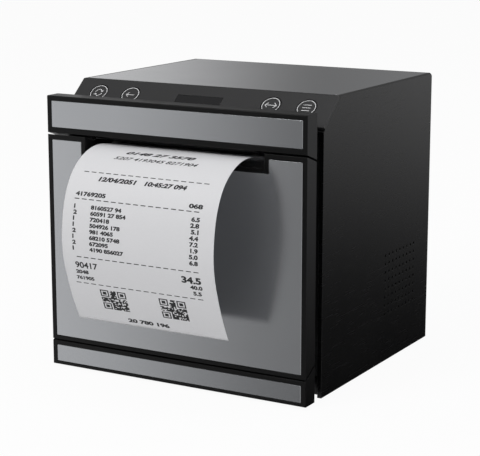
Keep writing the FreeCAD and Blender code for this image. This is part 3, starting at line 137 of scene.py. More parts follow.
# Boxes that take another colour: chips, sockets and capacitor tops on the board, and the side holes, whose
# walls get painted shade.
BOARD_PARTS = (
    ((-63.0, 121.55, 11.0), (63.0, 131.0, 111.0), (0.012, 0.012, 0.013)),
    ((-29.0, 121.55, 99.5), (37.0, 128.0, 107.0), (0.6, 0.58, 0.52)),
    ((-55.0, 129.8, 79.0), (-33.0, 131.0, 89.0), (0.5, 0.5, 0.51)),
)
VENTS_LOW = (66.0, 81.8, 22.4)
VENTS_HIGH = (68.9, 117.8, 54.2)
SIDE_SHEEN_TOP = 110.0  # the painted sheen on the frames' sides is greyest from here up

WOUND_PITCH = 0.45


def spot(x, y, z):
    """Point in metres of the part frame, from millimetres measured on the case."""
    return Vector((x * MM, (y - ORIGIN_Y) * MM, (z + FOOT_H) * MM))


slope_angle = math.atan2(SLOPE_RISE, SLOPE_RUN)


def slope_spot(x, up, out):
    """Point on the control strip: up the slope from its lower edge, and out of it."""
    y = BODY_Y + up * math.cos(slope_angle) - out * math.sin(slope_angle)
    z = SLOPE_Z + up * math.sin(slope_angle) + out * math.cos(slope_angle)
    return spot(x, y, z)


# ---------------------------------------------------------------- node helpers
def add(tree, kind, inputs=None, **settings):
    """Add a node; inputs maps socket names or numbers to values or to other nodes' outputs."""
    made = tree.nodes.new(kind)
    for name, value in settings.items():
        setattr(made, name, value)
    for name, value in (inputs or {}).items():
        if isinstance(value, bpy.types.NodeSocket):
            tree.links.new(value, made.inputs[name])
        else:
            made.inputs[name].default_value = value
    return made


def arithmetic(tree, operation, *values, clamp=False):
    made = add(tree, "ShaderNodeMath", dict(enumerate(values)), operation=operation, use_clamp=clamp)
    return made.outputs[0]


def vector_arithmetic(tree, operation, *values):
    """Outputs of a vector operation: Vector, and Value where it gives one."""
    return add(tree, "ShaderNodeVectorMath", dict(enumerate(values)), operation=operation).outputs


def blend_colour(tree, factor, first, second, mode="MIX"):
    made = add(tree, "ShaderNodeMix", {"Factor": factor}, data_type="RGBA", blend_type=mode)
    for socket, value in ((made.inputs[6], first), (made.inputs[7], second)):
        if isinstance(value, bpy.types.NodeSocket):
            tree.links.new(value, socket)
        else:
            socket.default_value = (*value[:3], 1.0)
    return made.outputs[2]


def multiply_colours(tree, first, second):
    return blend_colour(tree, 1.0, first, second, "MULTIPLY")


def ranged(tree, value, low, high, start=0.0, end=1.0, soft=False):
    """Value carried from low and high to start and end, held at both, with soft ends if asked."""
    limits = {"Value": value, "From Min": low, "From Max": high, "To Min": start, "To Max": end}
    kind = "SMOOTHSTEP" if soft else "LINEAR"
    return add(tree, "ShaderNodeMapRange", limits, interpolation_type=kind).outputs[0]


def split(tree, vector):
    """The X, Y and Z of a vector, by name."""
    return add(tree, "ShaderNodeSeparateXYZ", {0: vector}).outputs


def own_place(tree):
    """The shaded point in the piece's own metres."""
    return add(tree, "ShaderNodeTexCoord").outputs["Object"]


def facing(tree):
    """The smooth normal of the shaded point, before any relief."""
    return add(tree, "ShaderNodeNewGeometry").outputs["Normal"]


def turned(tree, place, rotation=(0.0, 0.0, 0.0), scale=(1.0, 1.0, 1.0)):
    """Coordinates stretched and turned, for a texture with a direction."""
    return add(tree, "ShaderNodeMapping", {"Vector": place, "Rotation": rotation, "Scale": scale}).outputs[0]


def noise(tree, place, scale, detail, roughness=0.5):
    values = {"Vector": place, "Scale": scale, "Detail": detail, "Roughness": roughness}
    return add(tree, "ShaderNodeTexNoise", values).outputs[0]


def bumped(tree, height, strength, distance, **more):
    """Normal of a small relief; Normal may be given as the one to start from."""
    values = {"Strength": strength, "Distance": distance, "Height": height, **more}
    return add(tree, "ShaderNodeBump", values).outputs[0]


def shader_group(name, inputs, outputs):
    """New shader node group; inputs and outputs are (name, kind, default) and (name, kind)."""
    group = bpy.data.node_groups.new(name, "ShaderNodeTree")
    for label, kind, default in inputs:
        socket = group.interface.new_socket(label, in_out="INPUT", socket_type=kind)
        socket.default_value = default
    for label, kind in outputs:
        group.interface.new_socket(label, in_out="OUTPUT", socket_type=kind)
    return group, add(group, "NodeGroupInput").outputs, add(group, "NodeGroupOutput").inputs


FLOAT = "NodeSocketFloat"
WHOLE = "NodeSocketInt"
COLOUR = "NodeSocketColor"
NORMAL = "NodeSocketVector"


# ---------------------------------------------------------------- shared effects
def make_surface_grain():
    """Spark-eroded or satin grain over softened edges; also gives a mask of those edges."""
    group, given, result = shader_group(
        "surface_grain",
        [("Grain Scale", FLOAT, 3000.0), ("Grain Depth", FLOAT, 0.00001), ("Edge Radius", FLOAT, 0.0003)],
        [("Normal", NORMAL), ("Edge", FLOAT)],
    )
    place = own_place(group)
    fine = noise(group, place, given["Grain Scale"], 2.0)
    coarse = noise(group, place, 35.0, 1.0)
    height = arithmetic(group, "ADD", fine, arithmetic(group, "MULTIPLY", coarse, 0.6))
    rounded = add(group, "ShaderNodeBevel", {"Radius": given["Edge Radius"]}, samples=4).outputs[0]
    relief = bumped(group, height, 0.6, given["Grain Depth"], Normal=rounded)
    level = vector_arithmetic(group, "DOT_PRODUCT", rounded, facing(group))["Value"]
    edge = arithmetic(group, "MULTIPLY", arithmetic(group, "SUBTRACT", 1.0, level), 6.0, clamp=True)
    group.links.new(relief, result["Normal"])
    group.links.new(edge, result["Edge"])
    return group


def make_handled_gloss():
    """Roughness that drifts with handling, with faint fine scratches."""
    group, given, result = shader_group(
        "handled_gloss",
        [("Roughness", FLOAT, 0.4), ("Spread", FLOAT, 0.1), ("Scratches", FLOAT, 0.05)],
        [("Roughness", FLOAT)],
    )
    place = own_place(group)
    centred = arithmetic(group, "SUBTRACT", noise(group, place, 22.0, 4.0, 0.6), 0.5)
    stretched = turned(group, place, (0.0, 0.5, 0.0), (60.0, 60.0, 1400.0))
    scratch = arithmetic(group, "GREATER_THAN", noise(group, stretched, 1.0, 1.0), 0.66)
    value = arithmetic(group, "MULTIPLY_ADD", centred, given["Spread"], given["Roughness"])
    value = arithmetic(group, "MULTIPLY_ADD", scratch, given["Scratches"], value, clamp=True)
    group.links.new(value, result["Roughness"])
    return group


def make_settled_dust():
    """Mask of fine dust on faces that look up."""
    group, given, result = shader_group("settled_dust", [("Amount", FLOAT, 0.1)], [("Mask", FLOAT)])
    upward = arithmetic(group, "SUBTRACT", split(group, facing(group))["Z"], 0.55, clamp=True)
    place = own_place(group)
    specks = noise(group, place, 900.0, 3.0)
    clouds = noise(group, place, 18.0, 3.0)
    mask = arithmetic(group, "MULTIPLY", specks, clouds)
    mask = arithmetic(group, "MULTIPLY", mask, upward)
    mask = arithmetic(group, "MULTIPLY", mask, given["Amount"], clamp=True)
    group.links.new(mask, result["Mask"])
    return group


def make_colour_drift():
    """Two close tones of one colour, mixed softly over the surface."""
    group, given, result = shader_group(
        "colour_drift",
        [("Tone", COLOUR, (0.5, 0.5, 0.5, 1)), ("Other Tone", COLOUR, (0.4, 0.4, 0.4, 1)),
         ("Scale", FLOAT, 15.0)],
        [("Colour", COLOUR)],
    )
    cloud = noise(group, own_place(group), given["Scale"], 5.0)
    group.links.new(blend_colour(group, cloud, given["Tone"], given["Other Tone"]), result["Colour"])
    return group


surface_grain = make_surface_grain()
handled_gloss = make_handled_gloss()
settled_dust = make_settled_dust()
colour_drift = make_colour_drift()


def use(tree, group, **inputs):
    """Place a shared effect; underscores in the input names stand for spaces."""
    values = {name.replace("_", " "): value for name, value in inputs.items()}
    return add(tree, "ShaderNodeGroup", values, node_tree=group).outputs


def toned(tree, colour, share, scale):
    """Colour that drifts between itself and a darker share of itself."""
    darker = tuple(share * c for c in colour)
    return use(tree, colour_drift, Tone=(*colour, 1.0), Other_Tone=(*darker, 1.0), Scale=scale)["Colour"]


# ---------------------------------------------------------------- finishes
# Depths and radii in the materials are in metres, and the scales of textures are per metre.
def finish(name):
    """New material with its tree and its Principled BSDF."""
    material = bpy.data.materials.new(name)
    material.use_nodes = True
    tree = material.node_tree
    shader = tree.nodes["Principled BSDF"]
    return material, tree, shader


def feed(tree, shader, **sources):
    """Link outputs to the shader; underscores in the socket names stand for spaces."""
    for name, source in sources.items():
        tree.links.new(source, shader.inputs[name.replace("_", " ")])


def plastic(name, colour, roughness, grain=(3200.0, 0.000012), edge=0.00025, spread=0.08, scratches=0.04,
            drift=0.75, edge_highlight_and_wear=1.6, dust=0.25, ior=1.5, coat=0.0):
    """Moulded plastic: grain, softened edges lightened by painted highlight and rubbed wear, handling marks
    and dust.
    """
    material, tree, shader = finish(name)
    surface = use(tree, surface_grain, Grain_Scale=grain[0], Grain_Depth=grain[1], Edge_Radius=edge)
    # Edges lighter in colour: partly painted highlight, partly rubbed wear.
    highlit_rubbed_edge = tuple(min(1.0, edge_highlight_and_wear * c + 0.004) for c in colour)
    edge_lit_and_worn = blend_colour(tree, surface["Edge"], toned(tree, colour, drift, 12.0), highlit_rubbed_edge)
    specks = use(tree, settled_dust, Amount=dust)["Mask"]
    dusty = blend_colour(tree, specks, edge_lit_and_worn, (0.42, 0.41, 0.4))
    gloss = use(tree, handled_gloss, Roughness=roughness, Spread=spread, Scratches=scratches)["Roughness"]
    feed(tree, shader, Base_Color=dusty, Roughness=gloss, Normal=surface["Normal"])
    shader.inputs["IOR"].default_value = ior
    if coat > 0:
        shader.inputs["Coat Weight"].default_value = coat
        shader.inputs["Coat Roughness"].default_value = 0.06
    return material


def box_mask(tree, low, high):
    """1 within a box given by two corners in millimetres on the case, 0 outside it."""
    low, high = spot(*low), spot(*high)
    offset = vector_arithmetic(tree, "SUBTRACT", own_place(tree), (low + high) / 2)[0]
    reach = vector_arithmetic(tree, "ABSOLUTE", offset)[0]
    past = split(tree, vector_arithmetic(tree, "SUBTRACT", reach, (high - low) / 2)[0])
    furthest = arithmetic(tree, "MAXIMUM", past["X"], arithmetic(tree, "MAXIMUM", past["Y"], past["Z"]))
    return arithmetic(tree, "LESS_THAN", furthest, 0.0)


def tint_boxes(material, boxes):
    """Another plain colour within each box: the parts that stand on a board."""
    tree = material.node_tree
    base = tree.nodes["Principled BSDF"].inputs["Base Color"]
    for low, high, colour in boxes:
        below = base.links[0].from_socket
        tree.links.new(blend_colour(tree, box_mask(tree, low, high), below, colour), base)


def paint_vent_shade(material, low, high):
    """Painted shade: matt black within a box of the part, darkening the walls of the vent holes."""
    tree = material.node_tree
    shader = tree.nodes["Principled BSDF"]
    mask = box_mask(tree, low, high)
    colour = shader.inputs["Base Color"].links[0].from_socket
    gloss = shader.inputs["Roughness"].links[0].from_socket
    vent_shade = blend_colour(tree, mask, colour, (0.0005, 0.0005, 0.0005))
    feed(tree, shader, Base_Color=vent_shade, Roughness=arithmetic(tree, "MAXIMUM", gloss, mask))


def painted_side_sheen(material, colour, low, high):
    """Painted sheen: a greyer tone, standing in for reflected light, on the faces that look left or right,
    fading downward between two heights.
    """
    tree = material.node_tree
    shader = tree.nodes["Principled BSDF"]
    sideways = ranged(tree, arithmetic(tree, "ABSOLUTE", split(tree, facing(tree))["X"]), 0.6, 0.95)
    sheen_fade = ranged(tree, split(tree, own_place(tree))["Z"], low, high)
    front = shader.inputs["Base Color"].links[0].from_socket
    mask = arithmetic(tree, "MULTIPLY", sideways, sheen_fade)
    feed(tree, shader, Base_Color=blend_colour(tree, mask, front, colour))


def metal(name, colour, roughness, brush=(1.0, 1.0, 1.0), depth=0.000004, spread=0.12, edge=0.0002):
    """Metal with a brushed or ground direction and slightly brighter edges."""
    material, tree, shader = finish(name)
    lines = noise(tree, turned(tree, own_place(tree), scale=tuple(900.0 * b for b in brush)), 1.0, 4.0)
    surface = use(tree, surface_grain, Grain_Scale=2500.0, Grain_Depth=depth, Edge_Radius=edge)
    brighter = tuple(min(1.0, 1.2 * c) for c in colour)
    bright = blend_colour(tree, surface["Edge"], toned(tree, colour, 0.82, 40.0), brighter)
    gloss = use(tree, handled_gloss, Roughness=roughness, Spread=spread, Scratches=0.06)["Roughness"]
    relief = bumped(tree, lines, 0.5, depth, Normal=surface["Normal"])
    feed(tree, shader, Base_Color=bright, Roughness=gloss, Normal=relief)
    shader.inputs["Metallic"].default_value = 1.0
    return material


def mirror_plate(name, colour, roughness):
    """Smoke-grey half mirror behind a clear polished face."""
    material, tree, shader = finish(name)
    smears = ranged(tree, noise(tree, own_place(tree), 14.0, 6.0, 0.65), 0.4, 0.75, 0.0, 0.035)
    surface = use(tree, surface_grain, Grain_Scale=60.0, Grain_Depth=0.000002, Edge_Radius=0.0001)
    # Lighter edges: partly the plate's own cut edge, partly painted highlight.
    cut_edge_and_highlight = blend_colour(tree, surface["Edge"], toned(tree, colour, 0.95, 8.0), (0.46, 0.47, 0.485))
    specks = use(tree, settled_dust, Amount=0.18)["Mask"]
    dusty = blend_colour(tree, specks, cut_edge_and_highlight, (0.6, 0.59, 0.58))
    gloss = arithmetic(tree, "ADD", smears, roughness)
    feed(tree, shader, Base_Color=dusty, Roughness=gloss, Normal=surface["Normal"])
    shader.inputs["Metallic"].default_value = 0.92
    return material


def paper_stock(name, colour):
    """Smooth thermal paper with short fibres."""
    material, tree, shader = finish(name)
    long_cells = turned(tree, own_place(tree), (0.3, 0.2, 0.6), (700.0, 2400.0, 1500.0))
    fibres = noise(tree, long_cells, 1.0, 5.0)
    body = blend_colour(tree, fibres, colour, tuple(0.955 * c for c in colour))
    gloss = arithmetic(tree, "MULTIPLY_ADD", fibres, 0.16, 0.46)
    feed(tree, shader, Base_Color=body, Roughness=gloss, Normal=bumped(tree, fibres, 0.25, 0.00002))
    shader.inputs["IOR"].default_value = 1.35
    return material


def wound_paper(name, colour, axis_y, axis_z):
    """Ends of the roll: fine rings of wound layers about the roll's own axis."""
    material, tree, shader = finish(name)
    place = own_place(tree)
    centred = split(tree, vector_arithmetic(tree, "SUBTRACT", place, (0.0, axis_y, axis_z))[0])
    flat = add(tree, "ShaderNodeCombineXYZ", {1: centred["Y"], 2: centred["Z"]}).outputs[0]
    radius = vector_arithmetic(tree, "LENGTH", flat)["Value"]
    rings = arithmetic(tree, "SINE", arithmetic(tree, "MULTIPLY", radius, 2 * math.pi / (WOUND_PITCH * MM)))
    uneven = noise(tree, place, 160.0, 3.0)
    depth = arithmetic(tree, "MULTIPLY", rings, uneven)
    shade = arithmetic(tree, "MULTIPLY_ADD", depth, 0.22, 0.35, clamp=True)
    body = blend_colour(tree, shade, colour, tuple(0.8 * c for c in colour))
    gloss = arithmetic(tree, "MULTIPLY_ADD", uneven, 0.15, 0.5)
    feed(tree, shader, Base_Color=body, Roughness=gloss, Normal=bumped(tree, depth, 0.5, 0.00003))
    return material


def circuit_board(name, tip):
    """Green board: tracks under the mask, pads and a faint glass weave; tip lays them on its face."""
    material, tree, shader = finish(name)
    place = turned(tree, own_place(tree), (tip, 0.0, 0.0))
    bricks = {"Vector": place, "Scale": 110.0, "Mortar Size": 0.035, "Color1": (0, 0, 0, 1),
              "Color2": (0, 0, 0, 1), "Mortar": (1, 1, 1, 1)}
    tracks = add(tree, "ShaderNodeTexBrick", bricks, offset=0.37).outputs["Color"]
    cells = add(tree, "ShaderNodeTexVoronoi", {"Vector": place, "Scale": 260.0}, feature="F1")
    pads = arithmetic(tree, "LESS_THAN", cells.outputs["Distance"], 0.17)
    weave = noise(tree, place, 2200.0, 2.0)
    mask = blend_colour(tree, weave, (0.012, 0.09, 0.035), (0.008, 0.065, 0.028))
    tracked = blend_colour(tree, tracks, mask, (0.03, 0.16, 0.06))
    padded = blend_colour(tree, pads, tracked, (0.55, 0.53, 0.5))
    gloss = arithmetic(tree, "MULTIPLY_ADD", weave, 0.2, 0.28)
    surface = use(tree, surface_grain, Grain_Scale=900.0, Grain_Depth=0.00002, Edge_Radius=0.0002)
    feed(tree, shader, Base_Color=padded, Roughness=gloss, Normal=surface["Normal"])
    return material


def card(name, colour):
    """Spiral-wound cardboard core."""
    material, tree, shader = finish(name)
    place = own_place(tree)
    spiral = {"Vector": turned(tree, place, (0.0, 0.0, 0.7)), "Scale": 25.0, "Distortion": 0.4}
    seams = add(tree, "ShaderNodeTexWave", spiral).outputs["Fac"]
    flecks = noise(tree, place, 700.0, 4.0)
    body = blend_colour(tree, flecks, colour, tuple(0.6 * c for c in colour))
    body = blend_colour(tree, arithmetic(tree, "MULTIPLY", seams, 0.15), body, (0.2, 0.16, 0.12))
    gloss = arithmetic(tree, "MULTIPLY_ADD", flecks, 0.1, 0.8)
    feed(tree, shader, Base_Color=body, Roughness=gloss, Normal=bumped(tree, flecks, 0.4, 0.00005))
    return material


def print_layer(name, colour, roughness, patchy):
    """Thin printed layer whose density varies a little."""
    material, tree, shader = finish(name)
    cover = noise(tree, own_place(tree), 1500.0, 3.0)
    body = blend_colour(tree, cover, colour, tuple(patchy * c + 0.01 for c in colour))
    feed(tree, shader, Base_Color=body, Roughness=arithmetic(tree, "MULTIPLY_ADD", cover, 0.2, roughness))
    return material


roll_low, roll_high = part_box("paper_roll")
roll_centre = (roll_low + roll_high) / 2

case_black = plastic("case_black", (0.0035, 0.0035, 0.0038), 0.24, grain=(2600.0, 0.000008), dust=0.08)
# Painted shade: the walls of the vent holes are made matt black.
paint_vent_shade(case_black, VENTS_LOW, VENTS_HIGH)
rear_charcoal = plastic("rear_charcoal", (0.026, 0.026, 0.027), 0.42, grain=(2000.0, 0.00002), dust=0.1)
frame_black = plastic("frame_black", (0.001, 0.001, 0.0011), 0.36, grain=(3600.0, 0.000006), edge=0.0003,
                      dust=0.05, ior=1.3)
# Painted sheen on the frames' sides: greyest high up, fading downward.
painted_side_sheen(frame_black, (0.033, 0.033, 0.034), spot(0, 0, 0).z, spot(0, 0, SIDE_SHEEN_TOP).z)
smoke_mirror = mirror_plate("smoke_mirror", (0.435, 0.445, 0.458), 0.16)
bar_mirror = mirror_plate("bar_mirror", (0.4, 0.41, 0.423), 0.13)
strip_charcoal = plastic("strip_charcoal", (0.03, 0.03, 0.031), 0.3, grain=(4200.0, 0.000005), dust=0.1)
key_charcoal = plastic("key_charcoal", (0.032, 0.032, 0.033), 0.3, grain=(4200.0, 0.000005), dust=0.1)
smoked_lens = plastic("smoked_lens", (0.006, 0.006, 0.007), 0.16, grain=(60.0, 0.000002), coat=0.06, dust=0.1)
inner_black = plastic("inner_black", (0.03, 0.031, 0.033), 0.5, grain=(2200.0, 0.00002))
inner_grey = plastic("inner_grey", (0.06, 0.062, 0.066), 0.46, grain=(2200.0, 0.00002))
soft_rubber = plastic("soft_rubber", (0.022, 0.022, 0.023), 0.72, grain=(1400.0, 0.00003), spread=0.1)
gear_white = plastic("gear_white", (0.72, 0.71, 0.66), 0.38, grain=(2600.0, 0.000006), edge_highlight_and_wear=1.1,
                     drift=0.93)
head_ceramic = plastic("head_ceramic", (0.5, 0.44, 0.3), 0.2, grain=(800.0, 0.000003), edge_highlight_and_wear=1.2,
                       coat=0.3)
thermal_paper = paper_stock("thermal_paper", (0.767, 0.767, 0.782))
roll_paper = wound_paper("roll_paper", (0.80, 0.80, 0.81), roll_centre.y, roll_centre.z)
core_card = card("core_card", (0.42, 0.34, 0.24))
ground_steel = metal("ground_steel", (0.56, 0.57, 0.59), 0.26, brush=(6.0, 0.4, 0.4))
plated_steel = metal("plated_steel", (0.58, 0.58, 0.57), 0.34)
black_steel = metal("black_steel", (0.045, 0.045, 0.048), 0.4)
fin_aluminium = metal("fin_aluminium", (0.74, 0.75, 0.76), 0.36, brush=(0.4, 5.0, 5.0))
port_tin = metal("port_tin", (0.66, 0.66, 0.67), 0.24)
motor_nickel = metal("motor_nickel", (0.4, 0.4, 0.41), 0.3, brush=(0.5, 6.0, 6.0))
main_board_green = circuit_board("main_board_green", math.pi / 2)
tint_boxes(main_board_green, BOARD_PARTS)
key_board_green = circuit_board("key_board_green", -slope_angle)
ink_black = print_layer("ink_black", (0.006, 0.006, 0.007), 0.6, 2.0)
sign_white = print_layer("sign_white", (0.86, 0.86, 0.87), 0.4, 0.95)

NODE_FINISH = {
    case_black: ("case_shell", "base_tray"),
    rear_charcoal: ("rear_panel",),
    frame_black: ("top_bar_frame", "bottom_bar_frame", "door_frame"),
    smoke_mirror: ("top_panel", "door_panel"),
    bar_mirror: ("top_bar_panel", "bottom_bar_panel"),
    strip_charcoal: ("control_strip",),
    key_charcoal: ("cycle_key", "back_key", "swap_key", "menu_key"),
    smoked_lens: ("display_lens",),
    inner_black: ("front_bulkhead", "door_liner", "switch_body", "power_rocker", "power_jack", "drawer_port",
                  "tact_switches", "display_module", "speaker"),
    inner_grey: ("paper_bay", "mechanism_frame", "cutter_frame", "platen_bushes"),
    soft_rubber: ("rubber_feet", "platen_rubber"),
    gear_white: ("platen_gear", "idler_gear", "motor_pinion", "cutter_pinion"),
    head_ceramic: ("head_plate",),
    thermal_paper: ("paper_web",),
    roll_paper: ("paper_roll",),
    core_card: ("roll_core",),
    ground_steel: ("moving_blade", "fixed_blade", "platen_shaft", "hinge_pins"),
    plated_steel: ("hinge_arms", "head_springs"),
    black_steel: ("case_screws", "door_screws"),
    fin_aluminium: ("head_heat_sink",),
    port_tin: ("network_port", "usb_port"),
    motor_nickel: ("feed_motor", "cutter_motor"),
    main_board_green: ("main_board",),
    key_board_green: ("key_board",),
}
for material, node_names in NODE_FINISH.items():
    for node_name in node_names:
        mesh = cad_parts[node_name].data
        mesh.materials.clear()
        mesh.materials.append(material)


# ---------------------------------------------------------------- mesh helpers
def placed(name, data):
    """New object in the scene, at the origin."""
    made = bpy.data.objects.new(name, data)
    bpy.context.scene.collection.objects.link(made)
    return made


def piece(name, points, faces, material, body):
    """Mesh object with its place in its mesh, riding on a body."""
    mesh = bpy.data.meshes.new(name)
    mesh.from_pydata([tuple(p) for p in points], [], faces)
    mesh.materials.append(material)
    made = placed(name, mesh)
    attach(made, body)
    return made


def evaluated_mesh(source):
    """Plain mesh of an object as it shows, with its modifiers and text resolved."""
    bpy.context.view_layer.update()
    return bpy.data.meshes.new_from_object(source.evaluated_get(bpy.context.evaluated_depsgraph_get()))


def smooth_curve(corners, steps):
    """Natural cubic spline through side-view corners, as points and the length up to each."""
    corners = np.array(corners, float)
    gaps = np.linalg.norm(np.diff(corners, axis=0), axis=1)
    knots = np.concatenate([[0.0], np.cumsum(gaps)])
    count = len(corners)
    matrix = np.eye(count)
    right = np.zeros((count, 2))
    for i in range(1, count - 1):
        matrix[i, i - 1:i + 2] = gaps[i - 1], 2 * (gaps[i - 1] + gaps[i]), gaps[i]
        right[i] = 3 * ((corners[i + 1] - corners[i]) / gaps[i] - (corners[i] - corners[i - 1]) / gaps[i - 1])
    bend = np.linalg.solve(matrix, right)
    points = []
    for along in np.linspace(0, knots[-1], steps):
        i = int(np.clip(np.searchsorted(knots, along) - 1, 0, count - 2))
        step = along - knots[i]
        slope = (corners[i + 1] - corners[i]) / gaps[i] - gaps[i] * (2 * bend[i] + bend[i + 1]) / 3
        points.append(corners[i] + slope * step + bend[i] * step ** 2
                      + (bend[i + 1] - bend[i]) / (3 * gaps[i]) * step ** 3)
    points = np.array(points)
    lengths = np.concatenate([[0.0], np.cumsum(np.linalg.norm(np.diff(points, axis=0), axis=1))])
    return points, lengths


ticket_points, ticket_lengths = smooth_curve(TICKET_CURVE, CURVE_STEPS)
ticket_length = float(ticket_lengths[-1])
ticket_slopes = np.gradient(ticket_points, ticket_lengths, axis=0)


def on_ticket(across, down, lift):
    """Point on the ticket, in metres: across the paper, down along it, and off its printed face."""
    y, z, run, rise = (
        np.interp(down, ticket_lengths, column) for column in (*ticket_points.T, *ticket_slopes.T))
    size = math.hypot(run, rise)
    return spot(across, y + rise / size * lift, z - run / size * lift)


# ---------------------------------------------------------------- the ticket and its print
def sheet_border(stride):
    """Pairs of grid points round the edge of one face of the sheet, in order."""
    last = SHEET_ROWS * stride
    pairs = [(column, column + 1) for column in range(SHEET_COLUMNS)]
    pairs += [(last + column + 1, last + column) for column in range(SHEET_COLUMNS)]
    for row in range(SHEET_ROWS):
        pairs.append((row * stride + SHEET_COLUMNS, (row + 1) * stride + SHEET_COLUMNS))
    pairs += [((row + 1) * stride, row * stride) for row in range(SHEET_ROWS)]
    return pairs


def ticket_sheet():
    """Closed thin sheet that follows the hanging curve; only its two faces are shaded smooth."""
    points = []
    inner = PAPER_HALF - SHEET_RIM
    columns = (-PAPER_HALF, *np.linspace(-inner, inner, SHEET_COLUMNS - 1), PAPER_HALF)
    for lift in (-TICKET_INSET, -TICKET_INSET - TICKET_THICK):
        for row in range(SHEET_ROWS + 1):
            for across in columns:
                points.append(on_ticket(across, ticket_length * row / SHEET_ROWS, lift))
    stride = SHEET_COLUMNS + 1
    layer = (SHEET_ROWS + 1) * stride
    faces = []
    for row in range(SHEET_ROWS):
        for a in range(row * stride, row * stride + SHEET_COLUMNS):
            b = a + stride
            faces.append((a, b, b + 1, a + 1))
            faces.append((layer + a, layer + a + 1, layer + b + 1, layer + b))
    broad = len(faces)
    faces.extend((a, b, layer + b, layer + a) for a, b in sheet_border(stride))
    made = piece("ticket_paper", points, faces, thermal_paper, "front_door")
    sheet = bmesh.new()
    sheet.from_mesh(made.data)
    bmesh.ops.recalc_face_normals(sheet, faces=sheet.faces)
    sheet.to_mesh(made.data)
    sheet.free()
    made.data.polygons.foreach_set("use_smooth", [index < broad for index in range(len(faces))])
    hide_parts("ticket")
    return made


printed_shapes = []


def bar(x0, x1, low, high, base):
    """Printed rectangle; low and high are heights over the line whose base is that far down."""
    printed_shapes.append([(x0, base - low), (x1, base - low), (x1, base - high), (x0, base - high)])


def dashes(x0, x1, down):
    """Broken rule across the ticket."""
    step = (x1 - x0) / DASHES
    for index in range(DASHES):
        bar(x0 + index * step, x0 + (index + DASH_SHARE) * step, -DASH_HALF, DASH_HALF, down)


def figures(text, base, height, left=None, right=None, bold=FIGURE_WEIGHT, lean=0.0):
    """Plain figures on a line; a side that isn't given follows from their usual width."""
    curve = bpy.data.curves.new("figures", "FONT")
    curve.body = text
    curve.offset = bold
    curve.shear = lean
    source = placed("figures", curve)
    flat = evaluated_mesh(source)
    spots = np.array([vertex.co[:2] for vertex in flat.vertices])
    spots -= spots.min(axis=0)
    wide, high = spots.max(axis=0)
    usual = FIGURE_STRETCH * height * wide / high
    if left is None:
        left = right - usual
    if right is None:
        right = left + usual
    spots *= ((right - left) / wide, height / high)
    for polygon in flat.polygons:
        corners = [spots[index] for index in polygon.vertices]
        printed_shapes.append([(left + x, base - up) for x, up in corners])
    bpy.data.objects.remove(source)
    bpy.data.meshes.remove(flat)


def code_cells(seed):
    """Random dark cells in the unit square, made by a node tree with named inputs."""
    tree = bpy.data.node_groups.new("code_cells", "GeometryNodeTree")
    for label, kind, default in (("Cells", WHOLE, CODE_CELLS), ("Density", FLOAT, CODE_DENSITY),
                                 ("Seed", WHOLE, 1), ("Fill", FLOAT, 1.0)):
        tree.interface.new_socket(label, in_out="INPUT", socket_type=kind).default_value = default
    tree.interface.new_socket("Geometry", in_out="OUTPUT", socket_type="NodeSocketGeometry")
    given = add(tree, "NodeGroupInput").outputs
    pitch = arithmetic(tree, "DIVIDE", 1.0, given["Cells"])
    span = arithmetic(tree, "SUBTRACT", 1.0, pitch)
    side = arithmetic(tree, "MULTIPLY", pitch, given["Fill"])
    grid = flat_grid(tree, span, given["Cells"])
    chance = add(tree, "FunctionNodeRandomValue", {"Probability": given["Density"], "Seed": given["Seed"]},
                 data_type="BOOLEAN")
    chosen = {"Points": grid, "Selection": chance.outputs[3], "Instance": flat_grid(tree, side, 2)}
    cells = add(tree, "GeometryNodeInstanceOnPoints", chosen).outputs[0]
    real = add(tree, "GeometryNodeRealizeInstances", {"Geometry": cells}).outputs[0]
    inked = add(tree, "GeometryNodeSetMaterial", {"Geometry": real, "Material": ink_black}).outputs[0]
    tree.links.new(inked, add(tree, "NodeGroupOutput").inputs["Geometry"])
    return grown(tree, {"Seed": seed})


def flat_grid(tree, side, corners):
    """Square grid with as many corners along each side."""
    sizes = {"Size X": side, "Size Y": side, "Vertices X": corners, "Vertices Y": corners}
    return add(tree, "GeometryNodeMeshGrid", sizes).outputs["Mesh"]


def grown(tree, values):
    """Plain mesh from a node tree, with its named inputs set by their identifiers."""
    carrier = placed("carrier", bpy.data.meshes.new("carrier"))
    modifier = carrier.modifiers.new("tree", "NODES")
    modifier.node_group = tree
    for item in tree.interface.items_tree:
        if item.in_out == "INPUT" and item.name in values:
            modifier[item.identifier] = values[item.name]
    mesh = evaluated_mesh(carrier)
    bpy.data.objects.remove(carrier)
    return mesh


def code_block(x0, x1, top, bottom, seed):
    """Square block of random cells with three framed corners."""
    corner = (CODE_EYE + 1) / CODE_CELLS
    flat = code_cells(seed)
    for polygon in flat.polygons:
        u = polygon.center.x + 0.5
        v = 0.5 - polygon.center.y
        in_upper_corner = min(u, 1 - u) < corner and v < corner
        in_lower_corner = u < corner and v > 1 - corner
        if in_upper_corner or in_lower_corner:
            continue
        corners = [flat.vertices[index].co for index in polygon.vertices]
        printed_shapes.append([
            (x0 + (c.x + 0.5) * (x1 - x0), top + (0.5 - c.y) * (bottom - top)) for c in corners])
    bpy.data.meshes.remove(flat)
    wide = (x1 - x0) / CODE_CELLS
    high = (bottom - top) / CODE_CELLS
    far = CODE_CELLS - CODE_EYE
    for column, row in ((0, 0), (far, 0), (0, far)):
        left = x0 + column * wide
        base = top + (row + CODE_EYE) * high
        for start, end, low, up in EYE_BARS:
            bar(left + start * wide, left + end * wide, low * high, up * high, base)


